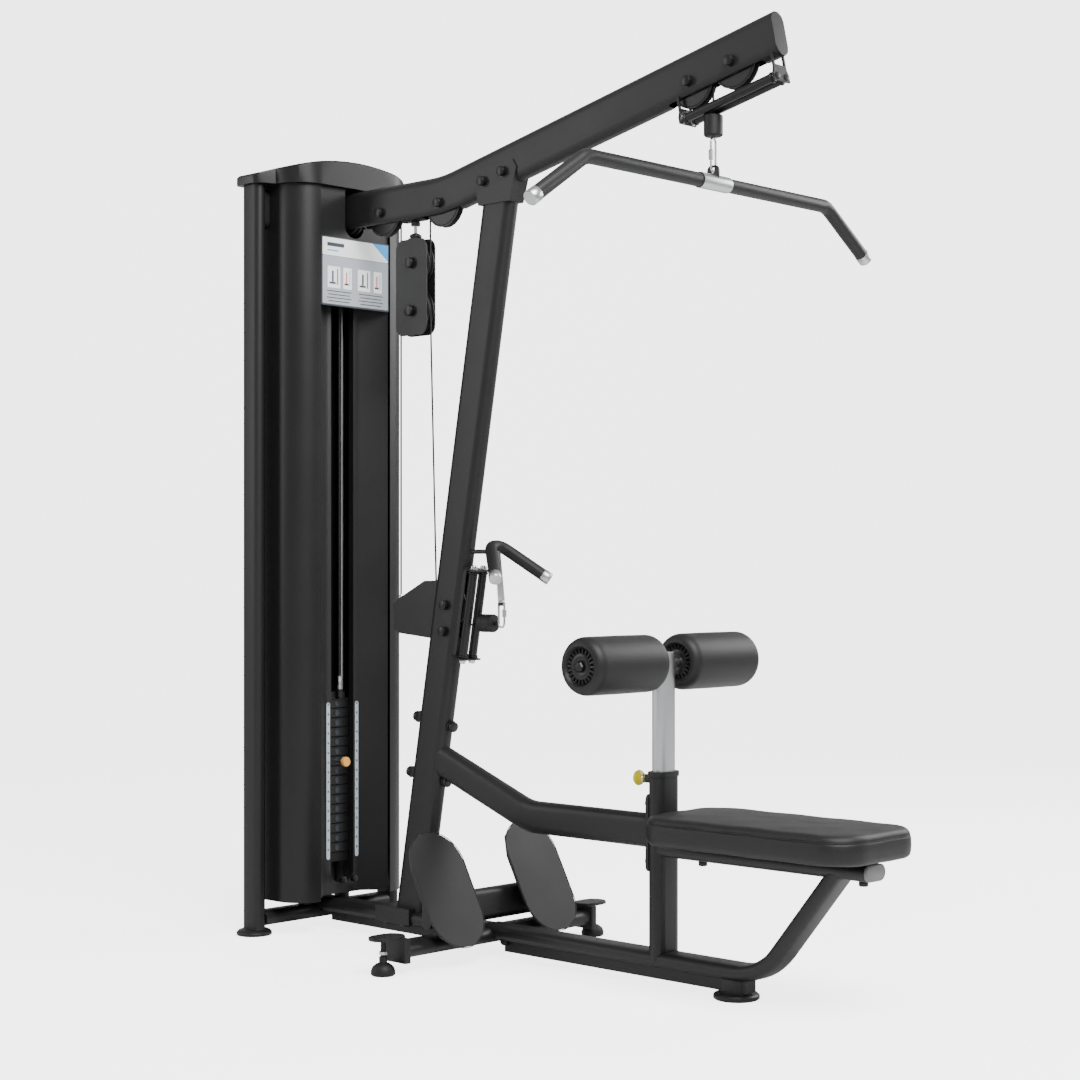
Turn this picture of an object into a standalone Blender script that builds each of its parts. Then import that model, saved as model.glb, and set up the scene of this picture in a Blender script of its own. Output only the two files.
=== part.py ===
"""Lat pulldown and low row machine: a weight tower, a welded oval-tube frame and two cable stations.

Metres, +Z up.  +X runs from the weight tower to the seat, +Y across the machine.  X coordinates
are measured from the stabilizer bar under the foot plates, and SHIFT_X moves the finished machine
so that its origin is the centre of its footprint.
"""
import math

import bmesh
import bpy
from mathutils import Matrix, Vector

# ---- driving dimensions ---------------------------------------------------------------------
SHIFT_X = -0.2385          # stabilizer bar to the centre of the footprint
GAP = 0.0003               # clearance between parts that touch

MAIN_TUBE = (0.107, 0.046)     # boom and main post: long and short side of the flat oval
MID_TUBE = (0.082, 0.044)      # upper beam and seat post
BASE_TUBE = (0.078, 0.038)     # rails, stabilizer and seat frame
TOWER_TUBE = (0.070, 0.036)    # tower posts
CHROME_TUBE = (0.0635, 0.038)  # sliding knee post
WALL = 0.003

RAIL_Z = 0.064
REAR_RAIL_Z = 0.061
STABILIZER_Z = 0.056
STABILIZER_HALF = 0.330
BOOM_Z = 1.960
BOOM_SLOPE = math.radians(12.15)
BOOM_BEND_X = -0.175
BOOM_REAR_X = -0.655
BOOM_TIP_X = 0.909
POST_LEAN = math.tan(math.radians(10.1))
POST_X_AT_FLOOR = -0.3144
BEAM_Z = 0.364
SEAT_POST_X = 0.570
SEAT_POST_TOP = 0.500
SEAT_FRAME_Z = 0.327
SEAT_FRAME_END_X = 1.167
PAD_SIZE = (0.595, 0.300, 0.068)
PAD_X = 0.9015
PAD_BOTTOM = 0.352
PAD_CORNER = 0.080

TOWER_X = -0.670
TOWER_POST_Y = 0.241
TOWER_TOP = 2.021
CAP_RISE = 0.050
CAP_EDGE = 0.024
SHROUD_Y = 0.205
SHROUD_FRONT_X = -0.530
SHROUD_REAR_X = -0.716
SHROUD_CORNER = 0.080
SHROUD_BOTTOM = 0.090
SHEET = 0.0025
CHANNEL_X = -0.587
CHANNEL_DEPTH = 0.020
CHANNEL_HALF = 0.064
SLOT_HALF = 0.040

ROD_X = -0.665
ROD_Y = 0.065
ROD_RADIUS = 0.010
PLATE_PITCH = 0.0265
PLATE_COUNT = 16
LIFTED_COUNT = 7
STACK_BOTTOM = 0.204
STACK_X = (-0.705, -0.610)
STACK_HALF_Y = 0.150
HOLE_RADIUS = 0.0062
LIFT_CABLE_X = -0.600

PULLEY_RADIUS = 0.062
PULLEY_PITCH_RADIUS = 0.057
PULLEY_WIDTH = 0.020
PULLEY_DROP = 0.018            # axles sit this far below the boom's centre line
BLOCK_X = -0.291
BLOCK_SIZE = (0.118, 0.255)
BLOCK_Z = 1.7325
BLOCK_PULLEY_Z = (1.797, 1.670)
TOWER_PULLEY_RADIUS = 0.050
TIP_PULLEY_X = (0.664, 0.7885)
LAT_CABLE_X = TIP_PULLEY_X[0] + PULLEY_PITCH_RADIUS
ROW_PULLEY = (-0.153, 0.892)
ROW_CABLE_Z = ROW_PULLEY[1] - PULLEY_PITCH_RADIUS
CABLE_RADIUS = 0.0024
TOWER_PULLEY = (LIFT_CABLE_X + TOWER_PULLEY_RADIUS - 0.005, 1.947)

HOOK_Z = 1.0305
STRAP_TOP = (0.0125, 1.050)
STRAP_END = (0.030, 0.892)

KNEE_Z = 0.765
KNEE_ROLLER_RADIUS = 0.0675
KNEE_ROLLER_Y = (0.043, 0.296)
KNOB_Z = 0.487
BAR_Z = 1.882
BAR_RADIUS = 0.017
BAR_END = (0.612, 1.767)
BAR_BEND_Y = 0.440

ROUND = 20                     # sides of a turned part
HALF_ROUND = 5                 # facets on each rounded side of a tube


# ---- scene and materials --------------------------------------------------------------------
def clear_scene():
    for obj in list(bpy.data.objects):
        bpy.data.objects.remove(obj, do_unlink=True)


def make_material(name, colour, roughness, metallic=0.0):
    material = bpy.data.materials.new(name)
    material.use_nodes = True
    shader = material.node_tree.nodes["Principled BSDF"]
    shader.inputs["Base Color"].default_value = (*colour, 1.0)
    shader.inputs["Roughness"].default_value = roughness
    shader.inputs["Metallic"].default_value = metallic
    return material


def make_materials():
    return {
        "powder": make_material("black powder coat", (0.045, 0.046, 0.046), 0.55),
        "shroud": make_material("textured sheet steel", (0.030, 0.031, 0.031), 0.60),
        "chrome": make_material("chrome plate", (0.80, 0.81, 0.82), 0.16, 1.0),
        "steel": make_material("zinc plated steel", (0.62, 0.62, 0.60), 0.30, 1.0),
        "iron": make_material("painted iron", (0.040, 0.041, 0.043), 0.50),
        "rubber": make_material("black rubber", (0.018, 0.018, 0.018), 0.75),
        "nylon": make_material("black nylon", (0.022, 0.022, 0.024), 0.40),
        "foam": make_material("skinned foam", (0.040, 0.041, 0.041), 0.60),
        "vinyl": make_material("black upholstery", (0.050, 0.050, 0.047), 0.50),
        "yellow": make_material("yellow plastic", (0.62, 0.56, 0.01), 0.35),
        "amber": make_material("amber plastic", (0.80, 0.42, 0.08), 0.40),
        "placard": make_material("printed panel", (0.55, 0.58, 0.60), 0.45),
        "cable": make_material("coated cable", (0.020, 0.020, 0.020), 0.35),
    }


# ---- building tools -------------------------------------------------------------------------
def finish(name, bm, material, origin=(0.0, 0.0, 0.0)):
    """Turns a bmesh, in the machine's coordinates, into an object whose origin is `origin`."""
    bmesh.ops.recalc_face_normals(bm, faces=bm.faces)
    bmesh.ops.translate(bm, verts=bm.verts, vec=-Vector(origin))
    mesh = bpy.data.meshes.new(name)
    bm.to_mesh(mesh)
    bm.free()
    mesh.materials.append(material)
    mesh.shade_smooth()
    mesh.set_sharp_from_angle(angle=math.radians(35))
    obj = bpy.data.objects.new(name, mesh)
    obj.location = Vector(origin) + Vector((SHIFT_X, 0.0, 0.0))
    bpy.context.collection.objects.link(obj)
    return obj


def combine(target, tool, operation):
    """Joins or cuts `target` with `tool`, which becomes a hidden helper."""
    tool.hide_render = True
    tool.display_type = "WIRE"
    modifier = target.modifiers.new(f"{operation.lower()} {tool.name}", "BOOLEAN")
    modifier.operation = operation
    modifier.solver = "EXACT"
    modifier.object = tool
    return target


def loft(rings, closed=False):
    """Skins a list of equal point rings, capped at both ends unless the rings form a loop."""
    bm = bmesh.new()
    loops = [[bm.verts.new(point) for point in ring] for ring in rings]
    count = len(loops[0])
    pairs = list(zip(loops, loops[1:]))
    if closed:
        pairs.append((loops[-1], loops[0]))
    for lower, upper in pairs:
        for i in range(count):
            j = (i + 1) % count
            bm.faces.new((lower[i], lower[j], upper[j], upper[i]))
    if not closed:
        bm.faces.new(loops[0][::-1])
        bm.faces.new(loops[-1])
    return bm


def oval(size, grow=0.0):
    """Outline of a flat oval tube: long axis first, fully rounded on its narrow sides."""
    radius = size[1] / 2 + grow
    straight = (size[0] - size[1]) / 2
    points = []
    for side in (1, -1):
        for i in range(HALF_ROUND + 1):
            angle = math.pi * (i / HALF_ROUND - 0.5)
            points.append((side * (straight + radius * math.cos(angle)), side * radius * math.sin(angle)))
    return points


def rounded_box(width, height, radius, steps=4):
    """Outline of a rectangle with rounded corners, centred on the origin."""
    points = []
    for quarter in range(4):
        turn = math.pi / 2 * quarter
        sign_u = 1 if quarter in (0, 3) else -1
        sign_v = 1 if quarter in (0, 1) else -1
        centre_u = sign_u * (width / 2 - radius)
        centre_v = sign_v * (height / 2 - radius)
        for i in range(steps + 1):
            angle = turn + math.pi / 2 * i / steps
            points.append((centre_u + radius * math.cos(angle), centre_v + radius * math.sin(angle)))
    return points


def rounded_path(corners, radius, steps=6):
    """Replaces the inner corners of a 2-D polyline with arcs."""
    path = [Vector(corners[0])]
    for before, corner, after in zip(corners, corners[1:], corners[2:]):
        corner = Vector(corner)
        into = (corner - Vector(before)).normalized()
        out = (Vector(after) - corner).normalized()
        turn = into.angle_signed(out)
        reach = radius * math.tan(abs(turn) / 2)
        side = Vector((into.y, -into.x)) * (1 if turn > 0 else -1)
        centre = corner - into * reach + side * radius
        start = (corner - into * reach) - centre
        for i in range(steps + 1):
            path.append(centre + Matrix.Rotation(-turn * i / steps, 2) @ start)
    path.append(Vector(corners[-1]))
    return path


def bent_tube(path, section, upright=True):
    """Sweeps an oval section along a path in the XZ plane.

    upright puts the section's long axis in the XZ plane, otherwise it lies along Y.
    """
    rings = []
    for i, point in enumerate(path):
        ahead = (path[min(i + 1, len(path) - 1)] - point).normalized() if i < len(path) - 1 else None
        behind = (point - path[i - 1]).normalized() if i else None
        along = ahead if behind is None else behind if ahead is None else (ahead + behind).normalized()
        reach = 1.0 if ahead is None or behind is None else 1.0 / along.dot(behind)
        normal = Vector((-along.y, along.x)) * reach
        ring = []
        for u, v in section:
            in_plane, across = (u, v) if upright else (v, u)
            place = point + normal * in_plane
            ring.append(Vector((place.x, across, place.y)))
        rings.append(ring)
    return loft(rings)


def prism(outline, centre, axis_u, axis_v, start, end):
    """Extrudes a 2-D outline along the normal of axis_u and axis_v."""
    centre = Vector(centre)
    axis_u = Vector(axis_u).normalized()
    axis_v = Vector(axis_v).normalized()
    normal = axis_u.cross(axis_v)
    flat = [centre + axis_u * u + axis_v * v for u, v in outline]
    return loft([[point + normal * offset for point in flat] for offset in (start, end)])


def round_tube(path, centre, axis_u, axis_v, radius, sides):
    """A round bar along a 2-D path that lies in the plane of axis_u and axis_v."""
    centre = Vector(centre)
    axis_u = Vector(axis_u)
    axis_v = Vector(axis_v)
    square = axis_u.cross(axis_v)
    rings = []
    for i, point in enumerate(path):
        along = (path[min(i + 1, len(path) - 1)] - path[max(i - 1, 0)]).normalized()
        across = axis_v * along.x - axis_u * along.y
        place = centre + axis_u * point.x + axis_v * point.y
        turns = [2 * math.pi * k / sides for k in range(sides)]
        rings.append([place + (across * math.cos(turn) + square * math.sin(turn)) * radius for turn in turns])
    return loft(rings)


def box(low, high):
    low = Vector(low)
    high = Vector(high)
    outline = [(low.x, low.y), (high.x, low.y), (high.x, high.y), (low.x, high.y)]
    return prism(outline, (0, 0, 0), (1, 0, 0), (0, 1, 0), low.z, high.z)


def turned(profile, centre, axis, sides=ROUND, closed=False):
    """Turns a profile of (radius, height) points round an axis.

    An open profile runs between two points on the axis; a closed one makes a ring with a bore.
    """
    centre = Vector(centre)
    axis = Vector(axis).normalized()
    side = axis.orthogonal().normalized()
    other = axis.cross(side)
    bm = bmesh.new()
    rows = []
    for radius, height in profile:
        base = centre + axis * height
        if radius == 0:
            rows.append([bm.verts.new(base)])
            continue
        row = []
        for i in range(sides):
            angle = 2 * math.pi * i / sides
            row.append(bm.verts.new(base + (side * math.cos(angle) + other * math.sin(angle)) * radius))
        rows.append(row)
    pairs = list(zip(rows, rows[1:]))
    if closed:
        pairs.append((rows[-1], rows[0]))
    for lower, upper in pairs:
        for i in range(sides):
            j = (i + 1) % sides
            corners = [lower[i % len(lower)], lower[j % len(lower)], upper[j % len(upper)],
                    upper[i % len(upper)]]
            corners = list(dict.fromkeys(corners))
            bm.faces.new(corners)
    return bm


def rod(start, end, radius, sides=ROUND):
    start = Vector(start)
    axis = Vector(end) - start
    return turned([(0, 0), (radius, 0), (radius, axis.length), (0, axis.length)], start, axis, sides)


def cable(name, material, path, radius=CABLE_RADIUS, origin=(0.0, 0.0, 0.0)):
    """A round cable along a smooth 3-D path, as a curve with a round bevel and filled caps."""
    curve = bpy.data.curves.new(name, "CURVE")
    curve.dimensions = "3D"
    curve.bevel_depth = radius
    curve.bevel_resolution = 2
    curve.use_fill_caps = True
    spline = curve.splines.new("POLY")
    spline.points.add(len(path) - 1)
    for point, place in zip(spline.points, path):
        point.co = (*(Vector(place) - Vector(origin)), 1.0)
    curve.materials.append(material)
    obj = bpy.data.objects.new(name, curve)
    obj.location = Vector(origin) + Vector((SHIFT_X, 0.0, 0.0))
    bpy.context.collection.objects.link(obj)
    return obj


def helper(bm, name):
    """A shape used only to join or cut another."""
    return finish(name, bm, None)


def cut(target, bm, name):
    return combine(target, helper(bm, name), "DIFFERENCE")


def join(target, bm, name):
    return combine(target, helper(bm, name), "UNION")


# ---- lines that several parts share ---------------------------------------------------------
def boom_z(x):
    """Height of the boom's centre line."""
    return BOOM_Z + max(0.0, x - BOOM_BEND_X) * math.tan(BOOM_SLOPE)


def boom_point(x, below=0.0):
    """A point `below` the boom's rising part, measured square to it."""
    along = Vector((math.cos(BOOM_SLOPE), 0.0, math.sin(BOOM_SLOPE)))
    down = Vector((math.sin(BOOM_SLOPE), 0.0, -math.cos(BOOM_SLOPE)))
    foot = Vector((BOOM_BEND_X, 0.0, BOOM_Z))
    return foot + along * ((x - BOOM_BEND_X) / math.cos(BOOM_SLOPE)) + down * below


def boom_path():
    corners = [(BOOM_REAR_X, BOOM_Z), (BOOM_BEND_X, BOOM_Z), (BOOM_TIP_X, boom_z(BOOM_TIP_X))]
    return rounded_path(corners, 0.45)


def post_x(z):
    """Centre of the leaning main post at height z."""
    return POST_X_AT_FLOOR + POST_LEAN * z


def post_path():
    return [Vector((post_x(z), z)) for z in (RAIL_Z, boom_z(0.03))]


def front_rail_path():
    corners = [(0.0, RAIL_Z), (0.876, RAIL_Z), (1.0875, SEAT_FRAME_Z)]
    return rounded_path(corners, 0.15, 8)


def axle_z(x):
    return boom_z(x) - PULLEY_DROP


# ---- tower ----------------------------------------------------------------------------------
def build_tower_posts(mats):
    for name, side in (("tower_post_left", -1), ("tower_post_right", 1)):
        centre = (TOWER_X, side * TOWER_POST_Y, 0)
        post = finish(name, prism(oval(TOWER_TUBE), centre, (1, 0, 0), (0, 1, 0), 0.010, TOWER_TOP - GAP),
                      mats["powder"])
        profile = [(0, 0), (0.046, 0), (0.048, 0.003), (0.048, 0.008), (0.042, 0.014), (0.030, 0.018), (0,
                0.018)]
        join(post, turned(profile, centre, (0, 0, 1)), f"{name} foot disc")


def build_tower_base(mats):
    half = TOWER_POST_Y - TOWER_TUBE[1] / 2 - GAP
    tube = prism(oval((0.066, 0.040)), (TOWER_X, 0, 0.043), (1, 0, 0), (0, 0, -1), -half, half)
    finish("tower_base_tube", tube, mats["powder"])


def shroud_plan(side, inset=0.0):
    """Plan outline of one side cover, from the rear centre line round to the recess, as a polyline."""
    corner_rear = 0.030 - inset
    corner_front = SHROUD_CORNER - inset
    y = side * (SHROUD_Y - inset)
    front = SHROUD_FRONT_X - inset
    rear = SHROUD_REAR_X + inset
    middle = side * GAP
    points = [Vector((rear, middle))]
    for i in range(5):
        angle = math.pi / 2 * i / 4
        centre_x = SHROUD_REAR_X + 0.030
        centre_y = side * (SHROUD_Y - 0.030)
        points.append(Vector((centre_x - corner_rear * math.cos(angle),
                centre_y + side * corner_rear * math.sin(angle))))
    for i in range(7):
        angle = math.pi / 2 * i / 6
        centre_x = SHROUD_FRONT_X - SHROUD_CORNER
        centre_y = side * (SHROUD_Y - SHROUD_CORNER)
        points.append(Vector((centre_x + corner_front * math.sin(angle),
                centre_y + side * corner_front * math.cos(angle))))
    points[-1] = Vector((front, side * (SHROUD_Y - SHROUD_CORNER)))
    return points


def build_shrouds(mats):
    for name, side in (("shroud_left", -1), ("shroud_right", 1)):
        outline = shroud_plan(side) + shroud_plan(side, SHEET)[::-1]
        if side > 0:
            outline = outline[::-1]
        sheet = prism(outline, (0, 0, 0), (1, 0, 0), (0, 1, 0), SHROUD_BOTTOM, TOWER_TOP - GAP)
        shroud = finish(name, sheet, mats["shroud"])
        tube = oval((MAIN_TUBE[0], 0.040), GAP)
        notch = prism(tube, (TOWER_X, 0, BOOM_Z), (0, 0, 1), (1, 0, 0), -0.30, 0.30)
        cut(shroud, notch, f"{name} cross tube notch")


def build_front_channel(mats):
    """The recessed front: a slotted frame over the weight stack between two flared walls."""
    edge_y = SHROUD_Y - SHROUD_CORNER - GAP
    edge_x = SHROUD_FRONT_X - 0.0078
    back = CHANNEL_X - CHANNEL_DEPTH
    outline = [(edge_x, -edge_y), (CHANNEL_X, -CHANNEL_HALF), (CHANNEL_X, CHANNEL_HALF), (edge_x, edge_y),
               (edge_x - 0.004, edge_y), (back, CHANNEL_HALF), (back, -CHANNEL_HALF), (edge_x - 0.004,
                       -edge_y)]
    top = axle_z(BOOM_REAR_X) - 0.110
    channel = finish("front_channel", prism(outline, (0, 0, 0), (1, 0, 0), (0, 1, 0), 0.094, top),
            mats["powder"])
    slot_bottom = 0.124
    slot_top = top + 0.060
    slot = rounded_box(2 * SLOT_HALF, slot_top - slot_bottom, 0.030)
    centre = (CHANNEL_X, 0, (slot_top + slot_bottom) / 2)
    cut(channel, prism(slot, centre, (0, 1, 0), (0, 0, 1), -0.06, 0.04), "stack slot")


def build_boom_panel(mats):
    """The flat panel under the cap that the boom passes through; the placard is fixed to its lower half."""
    half = SHROUD_Y - SHROUD_CORNER - GAP
    panel = finish("boom_panel", box((-0.5390, -half, 1.8325), (-0.5365, half, TOWER_TOP - GAP)),
            mats["shroud"])
    opening = rounded_box(0.066, 0.190, 0.032)
    cut(panel, prism(opening, (-0.5375, 0, 1.985), (0, 1, 0), (0, 0, 1), -0.02, 0.02), "boom opening")


def build_placard(mats):
    outline = rounded_box(0.244, 0.188, 0.003, 2)
    sign = prism(outline, (-0.5362, 0, 1.7925), (0, 1, 0), (0, 0, 1), 0.0, 0.0045)
    finish("placard", sign, mats["placard"])


def cap_plan(grow=0.0):
    """Half plan of the cap, from the rear centre to the front centre on the +Y side."""
    rear = -0.722 - grow
    front = SHROUD_FRONT_X + 0.012 + grow
    wide = TOWER_POST_Y + TOWER_TUBE[1] / 2 + 0.010 + grow
    narrow = SHROUD_Y + 0.012 + grow
    shoulder = TOWER_X + TOWER_TUBE[0] / 2 + 0.004
    points = [(rear, 0.0), (rear, 0.10), (rear, 0.19), (rear, wide - 0.012), (rear + 0.012, wide)]
    points += [(shoulder - 0.014, wide), (shoulder + 0.004, wide - 0.010), (shoulder + 0.020, narrow + 0.004)]
    radius = SHROUD_CORNER + 0.010
    for i in range(7):
        angle = math.pi / 2 * i / 6
        points.append((front - radius + radius * math.sin(angle), narrow - radius + radius * math.cos(angle)))
    points += [(front, 0.08), (front, 0.04), (front, 0.0)]
    return points


def build_tower_cap(mats):
    half = cap_plan()
    outline = [Vector(point) for point in half] + [Vector((x, -y)) for x, y in half[-2:0:-1]]
    span = max(point.y for point in outline)

    def top_z(point):
        return TOWER_TOP + CAP_EDGE + CAP_RISE * (1 - (point.y / span) ** 2)

    bm = bmesh.new()
    lower = [bm.verts.new((p.x, p.y, TOWER_TOP)) for p in outline]
    upper = [bm.verts.new((p.x, p.y, top_z(p) - 0.004)) for p in outline]
    count = len(outline)
    for i in range(count):
        j = (i + 1) % count
        bm.faces.new((lower[i], lower[j], upper[j], upper[i]))
    bm.faces.new(lower[::-1])
    middle = sum(outline, Vector((0, 0))) / count
    crown = []
    for p in outline:
        inner = Vector((p.x + (middle.x - p.x) * 0.05, p.y * 0.985))
        crown.append(bm.verts.new((inner.x, inner.y, top_z(inner))))
    for i in range(count):
        j = (i + 1) % count
        bm.faces.new((upper[i], upper[j], crown[j], crown[i]))
    half_count = len(half)
    for i in range(half_count - 1):
        left = crown[i]
        left_next = crown[i + 1]
        right = crown[-i % count]
        right_next = crown[(-i - 1) % count]
        bm.faces.new(list(dict.fromkeys((left, left_next, right_next, right))))
    finish("tower_cap", bm, mats["shroud"])


# ---- weight stack ---------------------------------------------------------------------------
def plate_group(first, count, extra_top=0.0):
    """Plates that move together: one body whose grooves show each plate."""
    groove = 0.0016
    inset = 0.0020
    radius = 0.008
    width = STACK_X[1] - STACK_X[0]
    centre = Vector(((STACK_X[0] + STACK_X[1]) / 2, 0, 0))
    rings = []
    for index in range(first, first + count):
        low = STACK_BOTTOM + index * PLATE_PITCH + (GAP if index == first else 0.0)
        high = STACK_BOTTOM + (index + 1) * PLATE_PITCH
        if index > first:
            low += groove / 2
        high -= groove / 2 if index < first + count - 1 else GAP
        levels = [(low, 0.0), (high, 0.0)]
        if index < first + count - 1:
            levels += [(high, inset), (high + groove, inset)]
        for z, shrink in levels:
            outline = rounded_box(width - 2 * shrink, 2 * STACK_HALF_Y - 2 * shrink, radius - shrink, 1)
            rings.append([centre + Vector((u, v, z)) for u, v in outline])
    return loft(rings)


def rod_holes(target, low, high):
    for side in (-1, 1):
        hole = rod((ROD_X, side * ROD_Y, low), (ROD_X, side * ROD_Y, high), ROD_RADIUS + 0.0015, 16)
        cut(target, hole, f"{target.name} rod hole {side}")


def build_weights(mats):
    resting = PLATE_COUNT - LIFTED_COUNT
    bottom = finish("resting_plates", plate_group(0, resting), mats["iron"])
    rod_holes(bottom, STACK_BOTTOM - 0.01, STACK_BOTTOM + resting * PLATE_PITCH + 0.01)

    lifted_low = STACK_BOTTOM + resting * PLATE_PITCH
    top = STACK_BOTTOM + PLATE_COUNT * PLATE_PITCH
    origin = (LIFT_CABLE_X, 0, lifted_low)
    lifted = finish("lifted_plates", plate_group(resting, LIFTED_COUNT), mats["iron"], origin)
    rod_holes(lifted, lifted_low - 0.01, top + 0.03)
    head = prism(rounded_box(0.050, 0.060, 0.006, 2), (-0.632, 0, top - 0.004), (1, 0, 0), (0, 1, 0), 0.0,
            0.022)
    join(lifted, head, "lift head")
    link = turned([(0, 0), (0.0065, 0), (0.0075, 0.006), (0.0075, 0.026), (0.0045, 0.034), (0.0045, 0.060),
            (0, 0.060)],
                  (LIFT_CABLE_X, 0, top + 0.004), (0, 0, 1), 12)
    join(lifted, link, "lift link")
    lug = box((-0.612, -0.006, top - 0.002), (-0.5935, 0.006, top + 0.016))
    join(lifted, lug, "lift lug")

    pin_z = lifted_low + PLATE_PITCH / 2
    hole = rod((-0.66, 0, pin_z), (-0.60, 0, pin_z), HOLE_RADIUS + 0.0006, 12)
    cut(lifted, hole, "pin hole")
    profile = [(0, -0.045), (0.0045, -0.045), (0.0050, -0.042), (0.0050, 0.0305), (0.013, 0.0315), (0.0135,
            0.0335),
               (0.0135, 0.0400), (0.012, 0.0425), (0, 0.0430)]
    pin = turned(profile, (STACK_X[1], 0, pin_z), (1, 0, 0), 20)
    finish("selector_pin", pin, mats["amber"], (STACK_X[1], 0, pin_z))


def build_guide_rods(mats):
    low = 0.043 + 0.020 + GAP
    high = BOOM_Z - MAIN_TUBE[0] / 2 - GAP
    for name, side in (("guide_rod_left", -1), ("guide_rod_right", 1)):
        finish(name, rod((ROD_X, side * ROD_Y, low), (ROD_X, side * ROD_Y, high), ROD_RADIUS, 16),
                mats["chrome"])


def build_stack_cushion(mats):
    low = 0.043 + 0.020 + GAP
    outline = rounded_box(0.088, 0.240, 0.010, 2)
    centre = ((STACK_X[0] + STACK_X[1]) / 2, 0, 0)
    cushion = finish("stack_cushion", prism(outline, centre, (1, 0, 0), (0, 1, 0), 0.178,
            STACK_BOTTOM - GAP), mats["rubber"])
    for side in (-1, 1):
        join(cushion, rod((ROD_X, side * ROD_Y, low), (ROD_X, side * ROD_Y, 0.180), 0.021, 16),
                f"bumper {side}")
    rod_holes(cushion, low - 0.01, STACK_BOTTOM + 0.01)


# ---- frame ----------------------------------------------------------------------------------
def build_boom(mats):
    boom = finish("boom", bent_tube(boom_path(), oval(MAIN_TUBE)), mats["powder"])
    half = TOWER_POST_Y - TOWER_TUBE[1] / 2 - GAP
    cross = prism(oval((MAIN_TUBE[0], 0.040)), (TOWER_X, 0, BOOM_Z), (0, 0, 1), (1, 0, 0), -half, half)
    join(boom, cross, "boom cross tube")
    slot_width = PULLEY_WIDTH + 0.010
    slots = [(-0.612, -0.480), (-0.475, -0.333), (-0.249, -0.107)]
    for index, (low, high) in enumerate(slots):
        mouth = box((low, -slot_width / 2, BOOM_Z - 0.075), (high, slot_width / 2, BOOM_Z - 0.030))
        cut(boom, mouth, f"pulley mouth {index}")
    low = boom_point(TIP_PULLEY_X[0] - 0.078, 0.050)
    high = boom_point(TIP_PULLEY_X[1] + 0.078, 0.050)
    along = (high - low).normalized()
    middle = (low + high) / 2
    length = (high - low).length
    outline = rounded_box(length, slot_width, 0.006, 2)
    mouth = prism(outline, middle, along, (0, 1, 0), -0.030, 0.030)
    cut(boom, mouth, "tip pulley mouth")
    for name, x in (("rear", 0.622), ("front", 0.896)):
        join(boom, hanger_plate(x), f"roller hanger {name}")
    path = boom_path()
    inner = [path[0] + Vector((0.030, 0.0))] + path[1:-1]
    inner.append(path[-1] + (path[-1] - path[-2]).normalized() * 0.02)
    cut(boom, bent_tube(inner, oval(MAIN_TUBE, -WALL)), "boom bore")


def hanger_plate(x):
    """A plate square to the boom that holds one end of the two cable guide rollers."""
    down = (math.sin(BOOM_SLOPE), 0, -math.cos(BOOM_SLOPE))
    half = MAIN_TUBE[1] / 2
    outline = [(0.036, -half + 0.004), (0.048, -half), (0.078, -half), (0.092, -0.029), (0.108, -0.029),
               (0.108, 0.029), (0.092, 0.029), (0.078, half), (0.048, half), (0.036, half - 0.004),
               (0.036, 0.0175), (0.070, 0.0175), (0.070, -0.0175), (0.036, -0.0175)]
    return prism(outline, boom_point(x), down, (0, 1, 0), -0.0025, 0.0025)


def build_boom_end_cap(mats):
    tip = boom_path()[-1]
    along = Vector((math.cos(BOOM_SLOPE), 0, math.sin(BOOM_SLOPE)))
    up = Vector((-math.sin(BOOM_SLOPE), 0, math.cos(BOOM_SLOPE)))
    centre = Vector((tip.x, 0, tip.y))
    cap = finish("boom_end_cap", prism(oval(MAIN_TUBE), centre + along * GAP, up, (0, -1, 0), 0.0, 0.004),
            mats["nylon"])
    plug = prism(oval(MAIN_TUBE, -WALL - GAP), centre, up, (0, -1, 0), -0.020, 0.003)
    join(cap, plug, "end cap plug")


def build_main_post(mats):
    post = finish("main_post", bent_tube(post_path(), oval(MAIN_TUBE)), mats["powder"])
    low = boom_z(0) - 0.082
    high = boom_z(0) + 0.022
    bottom = post_x(low)
    middle = post_x(high)
    outline = [(bottom - 0.0555, low), (bottom + 0.0555, low), (middle + 0.062, high - 0.022), (middle + 0.048, high),
               (middle - 0.072, high - 0.010), (middle - 0.084, high - 0.040), (bottom - 0.062, low + 0.030)]
    saddle = prism(outline, (0, 0, 0), (1, 0, 0), (0, 0, 1), -0.0265, 0.0265)
    join(post, saddle, "post saddle")
    foot_x = post_x(RAIL_Z) - 0.030
    foot = box((foot_x - 0.070, -0.0435, RAIL_Z - 0.018), (foot_x + 0.062, 0.0435, RAIL_Z + 0.0245))
    join(post, foot, "post foot bracket")
    hook = rod((post_x(HOOK_Z) + 0.03, 0, HOOK_Z), (-0.016, 0, HOOK_Z), 0.006, 12)
    join(post, hook, "handle hook")
    cut(post, bent_tube(boom_path(), oval(MAIN_TUBE, GAP)), "post boom cope")
    rail = [Vector((-0.62, REAR_RAIL_Z)), Vector((0.0, REAR_RAIL_Z))]
    cut(post, bent_tube(rail, oval(BASE_TUBE, GAP), False), "post rail cope")
    pocket_half = PULLEY_WIDTH / 2 + 0.005
    pocket = box((ROW_PULLEY[0] - 0.120, -pocket_half, ROW_PULLEY[1] - 0.085),
                 (ROW_PULLEY[0] + 0.120, pocket_half, ROW_PULLEY[1] + 0.080))
    cut(post, pocket, "row pulley pocket")


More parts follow.
